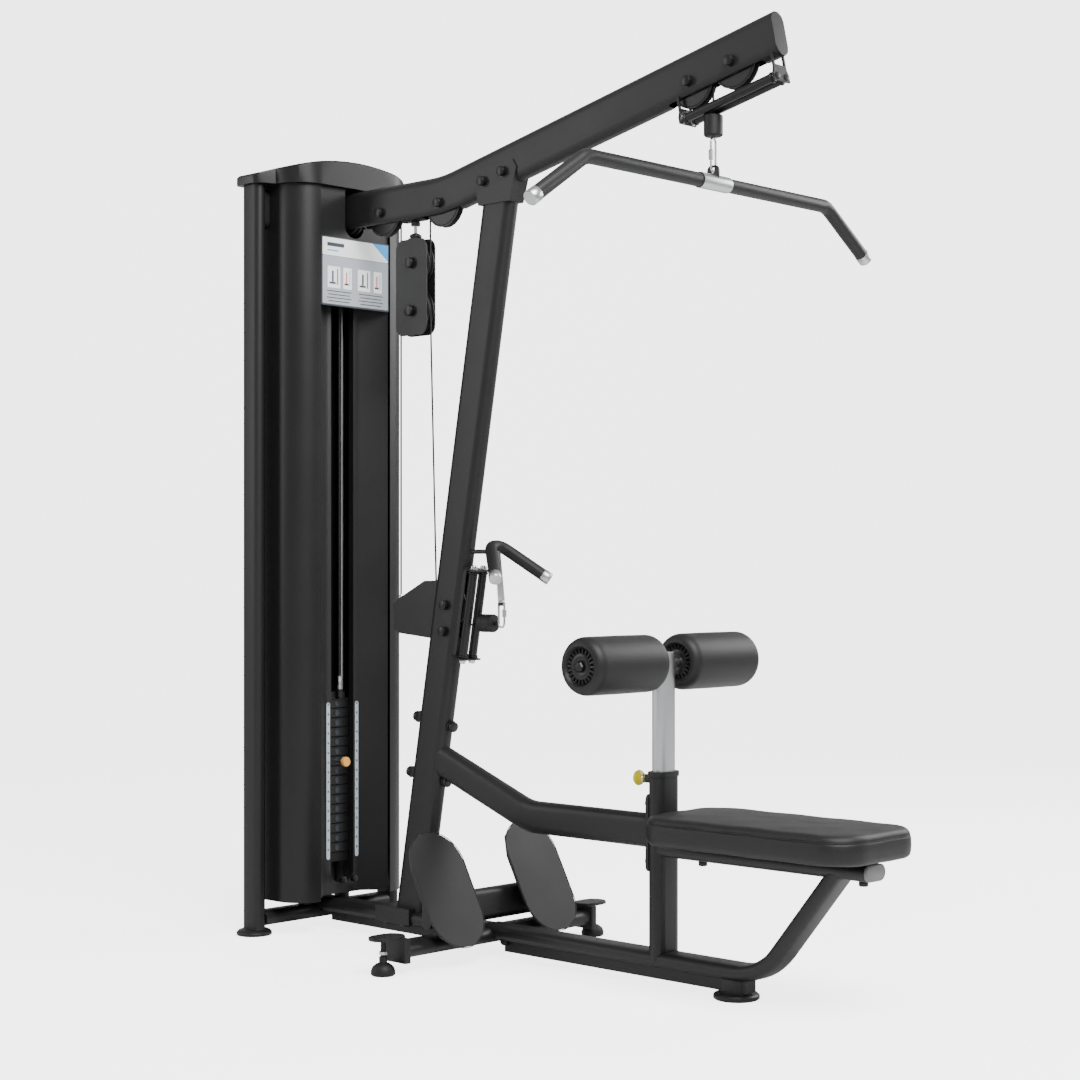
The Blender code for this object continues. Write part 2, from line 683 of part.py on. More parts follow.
def build_upper_beam(mats):
    corners = [(post_x(0.49), 0.4995), (0.130, BEAM_Z), (SEAT_POST_X, BEAM_Z)]
    beam = finish("upper_beam", bent_tube(rounded_path(corners, 0.16), oval(MID_TUBE)), mats["powder"])
    cut(beam, bent_tube(post_path(), oval(MAIN_TUBE, GAP)), "beam post cope")
    post_cutter = prism(oval(MID_TUBE, GAP), (SEAT_POST_X, 0, 0), (0, 1, 0), (-1, 0, 0), 0.05, 0.60)
    cut(beam, post_cutter, "beam seat post cope")
    trim = box((SEAT_POST_X, -0.05, 0.2), (SEAT_POST_X + 0.05, 0.05, 0.6))
    cut(beam, trim, "beam end trim")


def build_stabilizer(mats):
    tube = prism(oval(BASE_TUBE), (0, 0, STABILIZER_Z), (1, 0, 0), (0, 0, -1), -STABILIZER_HALF,
            STABILIZER_HALF)
    bar = finish("stabilizer_bar", tube, mats["powder"])
    for side in (-1, 1):
        outer = side * STABILIZER_HALF
        low, high = sorted((outer - side * 0.004, outer + side * 0.016))
        end = prism(rounded_box(0.090, high - low, 0.004, 2), (0, (low + high) / 2, 0), (1, 0, 0), (0, 1,
                0), 0.028, 0.088)
        join(bar, end, f"end block {side}")
        tab = prism(oval((0.100, 0.066)), (0, side * (STABILIZER_HALF + 0.036), 0), (0, 1, 0), (-1, 0, 0),
                0.086, 0.094)
        join(bar, tab, f"foot tab {side}")
    return bar


def build_leveling_feet(mats):
    y = STABILIZER_HALF + 0.048
    for name, side in (("leveling_foot_left", -1), ("leveling_foot_right", 1)):
        profile = [(0, 0), (0.026, 0), (0.030, 0.003), (0.030, 0.012), (0.026, 0.022), (0.017, 0.029),
                (0.010, 0.031),
                   (0.010, 0.046), (0.0062, 0.046), (0.0062, 0.0855), (0, 0.0855)]
        centre = (0, side * y, 0)
        finish(name, turned(profile, centre, (0, 0, 1), 20), mats["rubber"], centre)


def build_rails(mats):
    rear = bent_tube([Vector((TOWER_X + 0.010, REAR_RAIL_Z)), Vector((0.0, REAR_RAIL_Z))], oval(BASE_TUBE),
            False)
    rail = finish("rear_rail", rear, mats["powder"])
    join(rail, box((TOWER_X + 0.060, -0.019, 0.020), (-0.060, 0.019, REAR_RAIL_Z - 0.010)), "rear skirt")
    cut(rail, stabilizer_cutter(), "rear rail stabilizer cope")
    base = prism(oval((0.066, 0.040), GAP), (TOWER_X, 0, 0.043), (1, 0, 0), (0, 0, -1), -0.3, 0.3)
    cut(rail, base, "rear rail base cope")
    trim = box((TOWER_X - 0.05, -0.06, 0.0), (TOWER_X, 0.06, 0.12))
    cut(rail, trim, "rear rail trim")

    front = finish("front_rail", bent_tube(front_rail_path(), oval(BASE_TUBE), False), mats["powder"])
    join(front, box((0.060, -0.019, 0.018), (0.830, 0.019, RAIL_Z - 0.010)), "front skirt")
    cut(front, stabilizer_cutter(), "front rail stabilizer cope")
    cut(front, box((-0.1, -0.06, 0.0), (0.0, 0.06, 0.12)), "front rail trim")
    frame = bent_tube([Vector((0.6, SEAT_FRAME_Z)), Vector((1.3, SEAT_FRAME_Z))], oval(BASE_TUBE, GAP), False)
    cut(front, frame, "strut cope")
    cut(front, box((0.9, -0.06, SEAT_FRAME_Z), (1.3, 0.06, SEAT_FRAME_Z + 0.1)), "strut trim")


def stabilizer_cutter():
    return prism(oval(BASE_TUBE, GAP), (0, 0, STABILIZER_Z), (1, 0, 0), (0, 0, -1), -0.2, 0.2)


def build_front_foot(mats):
    centre = (0.789, 0, 0)
    foot = finish("front_foot", turned([(0, 0), (0.050, 0), (0.054, 0.003), (0.054, 0.010), (0.050, 0.014),
            (0, 0.014)],
                                       centre, (0, 0, 1)), mats["powder"])
    pedestal = prism(oval((0.080, 0.052)), centre, (1, 0, 0), (0, 1, 0), 0.010, 0.060)
    join(foot, pedestal, "foot pedestal")
    cut(foot, bent_tube(front_rail_path(), oval(BASE_TUBE, GAP), False), "foot rail cope")
    skirt = box((0.060, -0.019 - GAP, 0.018 - GAP), (0.830 + GAP, 0.019 + GAP, 0.080))
    cut(foot, skirt, "foot skirt cope")
    cut(foot, box((0.65, -0.1, RAIL_Z - 0.010), (0.95, 0.1, 0.15)), "foot top trim")


def build_seat_post(mats):
    post = finish("seat_post", prism(oval(MID_TUBE), (SEAT_POST_X, 0, 0), (0, 1, 0), (-1, 0, 0), RAIL_Z,
            SEAT_POST_TOP),
                  mats["powder"])
    collar = prism(oval((MID_TUBE[0] + 0.006, MID_TUBE[1] + 0.006)), (SEAT_POST_X, 0, 0), (0, 1, 0), (-1,
            0, 0),
                   SEAT_POST_TOP - 0.004, SEAT_POST_TOP + 0.008)
    join(post, collar, "post collar")
    face = SEAT_POST_X - MID_TUBE[1] / 2
    join(post, rod((face - 0.030, 0, KNOB_Z), (face + 0.004, 0, KNOB_Z), 0.0105, 16), "knob bushing")
    cut(post, prism(oval(CHROME_TUBE, 0.0006), (SEAT_POST_X, 0, 0), (0, 1, 0), (-1, 0, 0), 0.130, 0.60),
            "post bore")
    cut(post, rod((face - 0.040, 0, KNOB_Z), (face + 0.010, 0, KNOB_Z), 0.0046, 12), "plunger bore")
    rail = bent_tube([Vector((0.3, RAIL_Z)), Vector((0.75, RAIL_Z))], oval(BASE_TUBE, GAP), False)
    cut(post, rail, "seat post cope")
    cut(post, box((0.5, -0.06, 0.0), (0.65, 0.06, RAIL_Z)), "seat post trim")


def build_seat(mats):
    path = [Vector((SEAT_POST_X, SEAT_FRAME_Z)), Vector((SEAT_FRAME_END_X, SEAT_FRAME_Z))]
    frame = finish("seat_frame", bent_tube(path, oval(BASE_TUBE), False), mats["powder"])
    cut(frame, prism(oval(MID_TUBE, GAP), (SEAT_POST_X, 0, 0), (0, 1, 0), (-1, 0, 0), 0.05, 0.60),
            "seat frame cope")
    cut(frame, box((SEAT_POST_X - 0.05, -0.06, 0.2), (SEAT_POST_X, 0.06, 0.5)), "seat frame trim")
    length, width, height = PAD_SIZE
    rings = []
    for z, shrink in ((0.0, 0.004), (0.004, 0.0), (height - 0.020, 0.0), (height - 0.006, 0.006), (height,
            0.020)):
        outline = rounded_box(length - 2 * shrink, width - 2 * shrink, PAD_CORNER - shrink, 5)
        rings.append([Vector((PAD_X + u, v, PAD_BOTTOM + z)) for u, v in outline])
    finish("seat_pad", loft(rings), mats["vinyl"])


def build_foot_rests(mats):
    beam = prism(oval((0.084, 0.036)), (-0.030, 0, 0.1265), (0, 0, 1), (1, 0, 0), -0.205, 0.205)
    rest = finish("foot_rest_beam", beam, mats["powder"])
    tilt = math.radians(28.6)
    up = Vector((-math.sin(tilt), 0, math.cos(tilt)))
    face = Vector((math.cos(tilt), 0, math.sin(tilt)))
    for name, side in (("foot_plate_left", -1), ("foot_plate_right", 1)):
        centre = Vector((0.0, side * 0.170, 0.183)) + face * 0.004
        finish(name, foot_plate(centre, up), mats["powder"])
        arm_centre = Vector((-0.020, side * 0.170, 0.120))
        arm = box(arm_centre - Vector((0.012, 0.020, 0.020)), arm_centre + Vector((0.080, 0.020, 0.020)))
        join(rest, arm, f"plate bracket {side}")
        behind = prism(rounded_box(0.5, 0.5, 0.01, 1), centre, (0, 1, 0), up, -0.0033, 0.30)
        cut(rest, behind, f"plate bracket face {side}")


def foot_plate(centre, up):
    """A thin plate with fully rounded ends, leaning back."""
    outline = [(v, u) for u, v in oval((0.313, 0.184))][::-1]
    return prism(outline, centre, (0, 1, 0), up, -0.003, 0.003)


# ---- knee hold-down -------------------------------------------------------------------------
def build_knee_hold_down(mats):
    origin = (SEAT_POST_X, 0, KNEE_Z)
    post = finish("knee_post", prism(oval(CHROME_TUBE), (SEAT_POST_X, 0, 0), (0, 1, 0), (-1, 0, 0), 0.250,
            0.790),
                  mats["chrome"], origin)
    join(post, rod((SEAT_POST_X, -0.288, KNEE_Z), (SEAT_POST_X, 0.288, KNEE_Z), 0.0095, 16), "roller axle")
    for name, side in (("knee_roller_left", -1), ("knee_roller_right", 1)):
        low, high = KNEE_ROLLER_Y
        radius = KNEE_ROLLER_RADIUS
        profile = [(0.0102, low + 0.008), (0.045, low + 0.008), (0.045, low + 0.001), (0.050, low), (0.060,
                low + 0.005),
                   (radius, low + 0.018), (radius, high - 0.018), (0.060, high - 0.005), (0.050, high),
                   (0.045, high - 0.001), (0.045, high - 0.008), (0.0102, high - 0.008)]
        roller = turned(profile, (SEAT_POST_X, 0, KNEE_Z), (0, side, 0), ROUND, True)
        finish(name, roller, mats["foam"], (SEAT_POST_X, side * (low + high) / 2, KNEE_Z))


def build_pull_knob(mats):
    face = SEAT_POST_X - MID_TUBE[1] / 2
    start = face - 0.030 - GAP
    profile = [(0, -0.032), (0.010, -0.032), (0.017, -0.029), (0.019, -0.025), (0.018, -0.021), (0.009,
            -0.016),
               (0.0075, -0.009), (0.0085, -0.001), (0.004, 0.0), (0.004, 0.0325), (0, 0.0325)]
    finish("pull_knob", turned(profile, (start, 0, KNOB_Z), (1, 0, 0), 20), mats["yellow"], (start, 0,
            KNOB_Z))


# ---- pulleys and cables ---------------------------------------------------------------------
def pulley(name, x, z, mats, radius=PULLEY_RADIUS):
    half = PULLEY_WIDTH / 2
    groove = radius - (PULLEY_RADIUS - PULLEY_PITCH_RADIUS) - CABLE_RADIUS - 0.0015
    profile = [(0, -half), (radius, -half), (radius, -half + 0.003), (groove, -0.003), (groove, 0.003),
               (radius, half - 0.003), (radius, half), (0, half)]
    finish(name, turned(profile, (x, 0, z), (0, 1, 0)), mats["nylon"], (x, 0, z))


def build_pulleys(mats):
    pulley("tower_pulley", *TOWER_PULLEY, mats, TOWER_PULLEY_RADIUS)
    pulley("boom_pulley_rear", BLOCK_X - 2 * PULLEY_PITCH_RADIUS, axle_z(BOOM_REAR_X), mats)
    pulley("boom_pulley_front", BLOCK_X + 2 * PULLEY_PITCH_RADIUS, axle_z(BOOM_REAR_X), mats)
    for name, x in zip(("tip_pulley_rear", "tip_pulley_front"), TIP_PULLEY_X):
        pulley(name, x, axle_z(x), mats)
    for name, z in zip(("block_pulley_upper", "block_pulley_lower"), BLOCK_PULLEY_Z):
        pulley(name, BLOCK_X, z, mats)
    pulley("row_pulley", *ROW_PULLEY, mats)


def build_pulley_block(mats):
    """Two side plates on two axles: the floating block between the lat and the row cables."""
    inner = PULLEY_WIDTH / 2 + 0.003
    width, height = BLOCK_SIZE
    outline = rounded_box(width, height, 0.026, 4)
    origin = (BLOCK_X, 0, BLOCK_Z)
    block = finish("pulley_block", prism(outline, origin, (1, 0, 0), (0, 0, 1), inner, inner + 0.004),
            mats["powder"], origin)
    join(block, prism(outline, origin, (1, 0, 0), (0, 0, 1), -inner - 0.004, -inner), "far block plate")
    top = BLOCK_Z + height / 2
    bridge = box((BLOCK_X - 0.014, -inner - 0.002, top - 0.0006), (BLOCK_X + 0.014, inner + 0.002,
            top + 0.0034))
    join(block, bridge, "block bridge")
    bumper = turned([(0, 0), (0.012, 0), (0.016, 0.004), (0.016, 0.009), (0.010, 0.013), (0, 0.013)],
                    (BLOCK_X, 0, top + 0.0024), (0, 0, 1), 16)
    join(block, bumper, "block bumper")


def arc_xz(centre_x, centre_z, start, end, steps=10, radius=PULLEY_PITCH_RADIUS):
    """Points on a circle in the XZ plane, angles in degrees from +X towards +Z."""
    points = []
    for i in range(steps + 1):
        angle = math.radians(start + (end - start) * i / steps)
        points.append((centre_x + radius * math.cos(angle), 0.0, centre_z + radius * math.sin(angle)))
    return points


def straight(start, end, steps):
    start = Vector(start)
    end = Vector(end)
    return [start.lerp(end, i / steps) for i in range(steps + 1)]


def build_cables(mats):
    rear = BLOCK_X - PULLEY_PITCH_RADIUS
    front = BLOCK_X + PULLEY_PITCH_RADIUS
    top = axle_z(BOOM_REAR_X)
    stack_top = STACK_BOTTOM + PLATE_COUNT * PLATE_PITCH + 0.064 + GAP
    cable("stack_cable", mats["cable"], straight((LIFT_CABLE_X, 0, TOWER_PULLEY[1]), (LIFT_CABLE_X, 0,
            stack_top), 2))
    loop = straight((front, 0, top), (front, 0, BLOCK_PULLEY_Z[0]), 2)[:-1]
    loop += arc_xz(BLOCK_X, BLOCK_PULLEY_Z[0], 0, -180)
    loop += straight((rear, 0, BLOCK_PULLEY_Z[0]), (rear, 0, top), 2)[1:]
    cable("lat_cable_loop", mats["cable"], loop)
    anchor_z = 0.900
    loop = straight((rear, 0, anchor_z), (rear, 0, BLOCK_PULLEY_Z[1]), 2)[:-1]
    loop += arc_xz(BLOCK_X, BLOCK_PULLEY_Z[1], 180, 0)
    enter = (ROW_PULLEY[0] - PULLEY_PITCH_RADIUS, 0, ROW_PULLEY[1])
    loop += straight((front, 0, BLOCK_PULLEY_Z[1]), enter, 4)[1:]
    cable("row_cable_loop", mats["cable"], loop)
    drop = straight((LAT_CABLE_X, 0, axle_z(TIP_PULLEY_X[0])), (LAT_CABLE_X, 0, 2.0385 + GAP), 2)
    cable("lat_cable_drop", mats["cable"], drop)


# ---- lat bar --------------------------------------------------------------------------------
def wire_loop(name, centre, half_width, half_height, radius, mats, plane):
    """A closed oval link of round wire."""
    straight_half = half_height - half_width
    points = []
    for side in (1, -1):
        for i in range(6):
            angle = math.pi * i / 5
            points.append((side * half_width * math.cos(angle),
                    side * (straight_half + half_width * math.sin(angle))))
    rings = []
    count = len(points)
    for i, (u, v) in enumerate(points):
        before = Vector(points[i - 1])
        after = Vector(points[(i + 1) % count])
        along = (after - before).normalized()
        outward = Vector((along.y, -along.x))
        ring = []
        for k in range(8):
            angle = 2 * math.pi * k / 8
            spot = Vector((u, v)) + outward * radius * math.cos(angle)
            depth = radius * math.sin(angle)
            offset = (spot.x, depth, spot.y) if plane == "XZ" else (depth, spot.x, spot.y)
            ring.append(Vector(centre) + Vector(offset))
        rings.append(ring)
    return finish(name, loft(rings, closed=True), mats["steel"], centre)


def build_lat_station(mats):
    origin = (LAT_CABLE_X, 0, 2.0385)
    profile = [(0, -0.0500), (0.019, -0.0500), (0.0225, -0.0465), (0.0225, -0.0030), (0.020, 0.0), (0, 0.0)]
    finish("lat_stopper", turned(profile, origin, (0, 0, 1), 20), mats["rubber"], origin)
    link_z = 1.9465
    wire_loop("quick_link", (LAT_CABLE_X, 0, link_z), 0.0085, 0.0385, 0.0030, mats, "YZ")

    bar_origin = (LAT_CABLE_X, 0, BAR_Z)
    path = rounded_path([(-BAR_END[0], BAR_END[1]), (-BAR_BEND_Y, BAR_Z), (BAR_BEND_Y, BAR_Z), BAR_END],
            0.060)
    bar = finish("lat_bar", round_tube(path, (LAT_CABLE_X, 0, 0), (0, 1, 0), (0, 0, 1), BAR_RADIUS, 12),
                 mats["powder"], bar_origin)
    sleeve = rod((LAT_CABLE_X, -0.052, BAR_Z), (LAT_CABLE_X, 0.052, BAR_Z), BAR_RADIUS + 0.0012, 20)
    join(bar, sleeve, "bar sleeve")
    eye = prism(rounded_box(0.034, 0.036, 0.012, 3), (LAT_CABLE_X, 0, BAR_Z + 0.022), (1, 0, 0), (0, 0, 1),
            -0.0025, 0.0025)
    join(bar, eye, "bar eye")
    hole = rod((LAT_CABLE_X, -0.01, 1.9108), (LAT_CABLE_X, 0.01, 1.9108), 0.0068, 12)
    cut(bar, hole, "bar eye hole")


def build_boom_guide_rollers(mats):
    low = boom_point(0.630, 0.0975)
    high = boom_point(0.888, 0.0975)
    for name, side in (("boom_guide_left", -1), ("boom_guide_right", 1)):
        shift = Vector((0, side * 0.0165, 0))
        finish(name, rod(low + shift, high + shift, 0.0105, 16), mats["nylon"], tuple(low + shift))


# ---- row station ----------------------------------------------------------------------------
def build_row_station(mats):
    outline = [(-0.361, 0.892), (-0.345, 0.905), (-0.240, 0.955), (-0.150, 0.957), (-0.120, 0.820),
               (-0.165, 0.800), (-0.335, 0.815), (-0.358, 0.826)]
    outer = PULLEY_WIDTH / 2 + 0.003
    gusset = finish("row_gusset", prism(outline, (0, 0, 0), (1, 0, 0), (0, 0, 1), outer, outer + 0.004),
            mats["powder"])
    join(gusset, prism(outline, (0, 0, 0), (1, 0, 0), (0, 0, 1), -outer - 0.004, -outer), "far gusset plate")
    rear = BLOCK_X - PULLEY_PITCH_RADIUS
    anchor = box((rear - 0.013, -outer - 0.001, 0.868), (rear + 0.013, outer + 0.001, 0.880))
    join(gusset, anchor, "cable anchor block")
    post = rod((rear, 0, 0.878), (rear, 0, 0.900 - GAP), 0.005, 10)
    join(gusset, post, "cable anchor stud")
    cut(gusset, bent_tube(post_path(), oval(MAIN_TUBE, GAP)), "gusset post cope")
    cut(gusset, box((post_x(0.88), -0.05, 0.75), (0.0, 0.05, 1.0)), "gusset trim")

    lean = Vector((POST_LEAN, 0, 1)).normalized()
    front = Vector((1, 0, -POST_LEAN)).normalized()
    middle = Vector((post_x(0.883), 0, 0.883))
    face = MAIN_TUBE[0] / 2
    half_length = 0.116
    bracket = None
    for name, end in (("lower", -1), ("upper", 1)):
        centre = middle + lean * (end * half_length)
        outline = [(face - 0.012, -0.018), (face + 0.030, -0.036), (face + 0.046, -0.034), (face + 0.046,
                0.034),
                   (face + 0.030, 0.036), (face - 0.012, 0.018)]
        plate = prism(outline, centre, front, (0, 1, 0), -0.002, 0.002)
        if bracket is None:
            bracket = finish("row_roller_bracket", plate, mats["powder"])
        else:
            join(bracket, plate, f"{name} roller plate")
    spine = prism([(face - 0.010, -0.0165), (face + 0.004, -0.0165), (face + 0.004, -0.0140),
            (face - 0.010, -0.0140)],
                  middle, front, (0, 1, 0), -half_length - 0.001, half_length + 0.001)
    join(bracket, spine, "roller bracket spine")
    cut(bracket, bent_tube(post_path(), oval(MAIN_TUBE, GAP)), "roller bracket cope")
    for name, side in (("row_guide_left", -1), ("row_guide_right", 1)):
        base = middle + front * (face + 0.031) + Vector((0, side * 0.0170, 0))
        reach = half_length - 0.002 - GAP
        finish(name, rod(base - lean * reach, base + lean * reach, 0.0115, 16), mats["nylon"], tuple(base))
    build_row_handle(mats)


def build_row_handle(mats):
    stopper_x = -0.018
    z = ROW_CABLE_Z + 0.012
    origin = (stopper_x, 0, z)
    profile = [(0, -0.024), (0.021, -0.024), (0.0235, -0.021), (0.0235, 0.019), (0.020, 0.023), (0.006,
            0.024), (0.006, 0.034), (0, 0.034)]
    finish("row_stopper", turned(profile, origin, (1, 0, 0), 20), mats["rubber"], origin)
    link_x = 0.030
    link_z = z + 0.026
    wire_loop("row_link", (link_x, 0, link_z), 0.0100, 0.0360, 0.0030, mats, "XZ")

    hinge = (link_x, 0, link_z + 0.030)
    outward = Vector((0.111, 0, -0.098)).normalized()
    grips = rounded_path([(-0.098, 0.152), (0.0, -0.008), (0.098, 0.152)], 0.034, 8)
    tube = round_tube(grips, (-0.008, 0, 1.060), (0, 1, 0), outward, 0.0155, 12)
    handle = finish("row_handle", tube, mats["rubber"], hinge)
    along = Vector((STRAP_TOP[0] - STRAP_END[0], 0, STRAP_TOP[1] - STRAP_END[1]))
    outline = [(-0.011, 0.0), (0.011, 0.0), (0.009, along.length), (-0.009, along.length)]
    strap = prism(outline, (STRAP_END[0], 0, STRAP_END[1]), (0, 1, 0), along, -0.0015, 0.0015)
    join(handle, strap, "handle strap")
    hole_z = link_z + 0.0345
    hole = rod((-0.02, 0, hole_z), (0.06, 0, hole_z), 0.0068, 12)
    cut(handle, hole, "strap hole")


def main():
    clear_scene()
    mats = make_materials()
    build_tower_posts(mats)
    build_tower_base(mats)
    build_shrouds(mats)
    build_front_channel(mats)
    build_boom_panel(mats)
    build_placard(mats)
    build_tower_cap(mats)
    build_weights(mats)
    build_guide_rods(mats)
    build_stack_cushion(mats)
    build_boom(mats)
    build_boom_end_cap(mats)
    build_main_post(mats)
    build_upper_beam(mats)
    build_stabilizer(mats)
    build_leveling_feet(mats)
    build_rails(mats)
    build_front_foot(mats)
    build_seat_post(mats)
    build_seat(mats)
    build_foot_rests(mats)
    build_knee_hold_down(mats)
    build_pull_knob(mats)
    build_pulleys(mats)
    build_pulley_block(mats)
    build_cables(mats)
    build_lat_station(mats)
    build_boom_guide_rollers(mats)
    build_row_station(mats)


main()
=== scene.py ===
"""Visual model of a lat pulldown machine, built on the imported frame."""

import math

import bmesh
import bpy
from mathutils import Matrix, Vector


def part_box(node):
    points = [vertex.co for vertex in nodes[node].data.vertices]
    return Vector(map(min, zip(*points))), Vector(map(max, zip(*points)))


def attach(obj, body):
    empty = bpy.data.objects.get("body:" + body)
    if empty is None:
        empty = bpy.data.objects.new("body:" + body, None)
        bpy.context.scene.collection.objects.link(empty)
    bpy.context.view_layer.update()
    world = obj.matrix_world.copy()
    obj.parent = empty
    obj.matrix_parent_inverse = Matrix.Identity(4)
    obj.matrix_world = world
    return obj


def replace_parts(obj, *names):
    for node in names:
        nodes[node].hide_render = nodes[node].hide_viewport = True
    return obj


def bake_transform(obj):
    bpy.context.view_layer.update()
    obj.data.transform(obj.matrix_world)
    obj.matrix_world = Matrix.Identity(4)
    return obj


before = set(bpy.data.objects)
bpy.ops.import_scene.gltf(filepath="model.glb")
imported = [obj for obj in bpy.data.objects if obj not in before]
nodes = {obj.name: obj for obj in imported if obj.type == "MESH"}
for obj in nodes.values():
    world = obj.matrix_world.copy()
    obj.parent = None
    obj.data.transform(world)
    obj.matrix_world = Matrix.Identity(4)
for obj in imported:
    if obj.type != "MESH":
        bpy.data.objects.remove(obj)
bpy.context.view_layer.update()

SHIFT = -0.2385  # from X counted from the stabilizer bar to X in the frame
SLOPE = math.radians(12.15)  # rise of the boom
LEAN = math.atan(0.178)  # lean of the main post
VIEW_TURN = math.radians(43.67)  # the camera's heading, and the backdrop's
TUBE_HALF = 0.0232  # half width of the square tubes with bolts through them
PULLEY_WRAP = 0.057  # centre line of a cable on a pulley
CABLE_RADIUS = 0.0024
AXLE_Z = 1.942  # axles of the two boom pulleys
BOOM_REAR_X, BOOM_FRONT_X = -0.405, -0.177
BLOCK_X, BLOCK_UPPER_Z, BLOCK_LOWER_Z = -0.291, 1.797, 1.670
ROW_PULLEY = (-0.153, 0.892)
TOWER_PULLEY = (-0.555, 1.947)
LIFT_X = -0.600  # where the stack cable hangs
BAR_X, BAR_Z = 0.721, 1.882  # middle of the lat bar
BAR_TIP_Y, BAR_TIP_Z = 0.612, 1.767


# ---- materials ------------------------------------------------------------------------------
def surface(name, colour, rough, metal=0.0, grain=500.0, bump=0.05, vary=0.12, pebble=False):
    """A finish with fine relief and a slow change of tone and gloss."""
    mat = bpy.data.materials.new(name)
    mat.use_nodes = True
    tree = mat.node_tree
    shader = tree.nodes["Principled BSDF"]
    shader.inputs["Metallic"].default_value = metal
    shader.inputs["Specular IOR Level"].default_value = 0.5 if metal else 0.36
    place = tree.nodes.new("ShaderNodeTexCoord")
    slow = tree.nodes.new("ShaderNodeTexNoise")
    slow.inputs["Scale"].default_value = 7.0
    slow.inputs["Detail"].default_value = 4.0
    tree.links.new(place.outputs["Object"], slow.inputs["Vector"])
    tone = tree.nodes.new("ShaderNodeMix")
    tone.data_type = "RGBA"
    tone.inputs[6].default_value = [c * (1 - vary) for c in colour] + [1]
    tone.inputs[7].default_value = [min(c * (1 + vary), 1) for c in colour] + [1]
    tree.links.new(slow.outputs["Fac"], tone.inputs[0])
    tree.links.new(tone.outputs[2], shader.inputs["Base Color"])
    gloss = tree.nodes.new("ShaderNodeMapRange")
    gloss.inputs["To Min"].default_value = rough - 0.05
    gloss.inputs["To Max"].default_value = rough + 0.07
    tree.links.new(slow.outputs["Fac"], gloss.inputs["Value"])
    tree.links.new(gloss.outputs["Result"], shader.inputs["Roughness"])
    fine = tree.nodes.new("ShaderNodeTexVoronoi" if pebble else "ShaderNodeTexNoise")
    fine.inputs["Scale"].default_value = grain
    tree.links.new(place.outputs["Object"], fine.inputs["Vector"])
    relief = tree.nodes.new("ShaderNodeBump")
    relief.inputs["Strength"].default_value = bump
    relief.inputs["Distance"].default_value = 0.0006
    tree.links.new(fine.outputs[0], relief.inputs["Height"])
    tree.links.new(relief.outputs["Normal"], shader.inputs["Normal"])
    return mat


POWDER = surface("powder_coat", (0.0085, 0.0085, 0.0087), 0.44, grain=900, bump=0.22)
SHROUD = surface("shroud_sheet", (0.0065, 0.0065, 0.0066), 0.40, grain=700, bump=0.12)
CAP = surface("cap_shell", (0.0075, 0.0075, 0.0077), 0.36, grain=650, bump=0.12)
IRON = surface("plate_enamel", (0.008, 0.008, 0.0082), 0.42, grain=420, bump=0.3, vary=0.2)
RUBBER = surface("rubber", (0.0055, 0.0055, 0.0055), 0.55, grain=600, bump=0.2)
NYLON = surface("nylon", (0.0055, 0.0055, 0.0057), 0.36, grain=800, bump=0.08)
FOAM = surface("foam_skin", (0.0070, 0.0070, 0.0071), 0.50, grain=950, bump=0.35)
VINYL = surface("grained_vinyl", (0.0075, 0.0075, 0.0076), 0.46, grain=620, bump=0.55, pebble=True)
BOLT = surface("black_bolt", (0.0055, 0.0055, 0.0057), 0.36, grain=700, bump=0.1)
CHROME = surface("chrome", (0.62, 0.63, 0.64), 0.24, 1.0, grain=300, bump=0.02, vary=0.05)
SATIN = surface("satin_chrome", (0.55, 0.56, 0.57), 0.36, 1.0, grain=350, bump=0.04, vary=0.06)
ZINC = surface("zinc", (0.60, 0.60, 0.58), 0.32, 1.0, grain=260, bump=0.08, vary=0.15)
GREY = surface("grey_end_cap", (0.17, 0.17, 0.175), 0.45, grain=600, bump=0.1)
YELLOW = surface("yellow_knob", (0.62, 0.50, 0.008), 0.35, grain=500, bump=0.06, vary=0.06)
AMBER = surface("amber_disc", (0.80, 0.40, 0.10), 0.38, grain=500, bump=0.06, vary=0.08)
STRIP = surface("pale_strip", (0.44, 0.49, 0.54), 0.40, grain=500, bump=0.04, vary=0.05)
INK = surface("dark_print", (0.03, 0.035, 0.045), 0.45, grain=500, bump=0.03)
WHITE = surface("white_print", (0.82, 0.83, 0.84), 0.38, grain=500, bump=0.03, vary=0.03)
PANEL_GREY = surface("grey_print", (0.33, 0.36, 0.39), 0.40, grain=500, bump=0.03, vary=0.05)
CYAN = surface("cyan_print", (0.01, 0.30, 0.70), 0.40, grain=500, bump=0.03, vary=0.05)
RED = surface("red_print", (0.60, 0.06, 0.05), 0.40, grain=500, bump=0.03, vary=0.05)
CABLE = surface("cable_jacket", (0.005, 0.005, 0.0052), 0.60, grain=900, bump=0.2)


def finish_of(name):
    if "shroud" in name:
        return SHROUD
    if name == "tower_cap":
        return CAP
    if "guide_rod" in name:
        return CHROME
    if name == "knee_post":
        return SATIN
    if name in ("quick_link", "row_link"):
        return ZINC
    if name == "pull_knob":
        return YELLOW
    soft = ("stack_cushion", "row_stopper", "lat_stopper", "row_handle")
    if name in soft or "leveling" in name:
        return RUBBER
    if "roller" in name and name != "row_roller_bracket":
        return FOAM
    if ("pulley" in name and name != "pulley_block") or "_guide_" in name or name == "boom_end_cap":
        return NYLON
    return POWDER


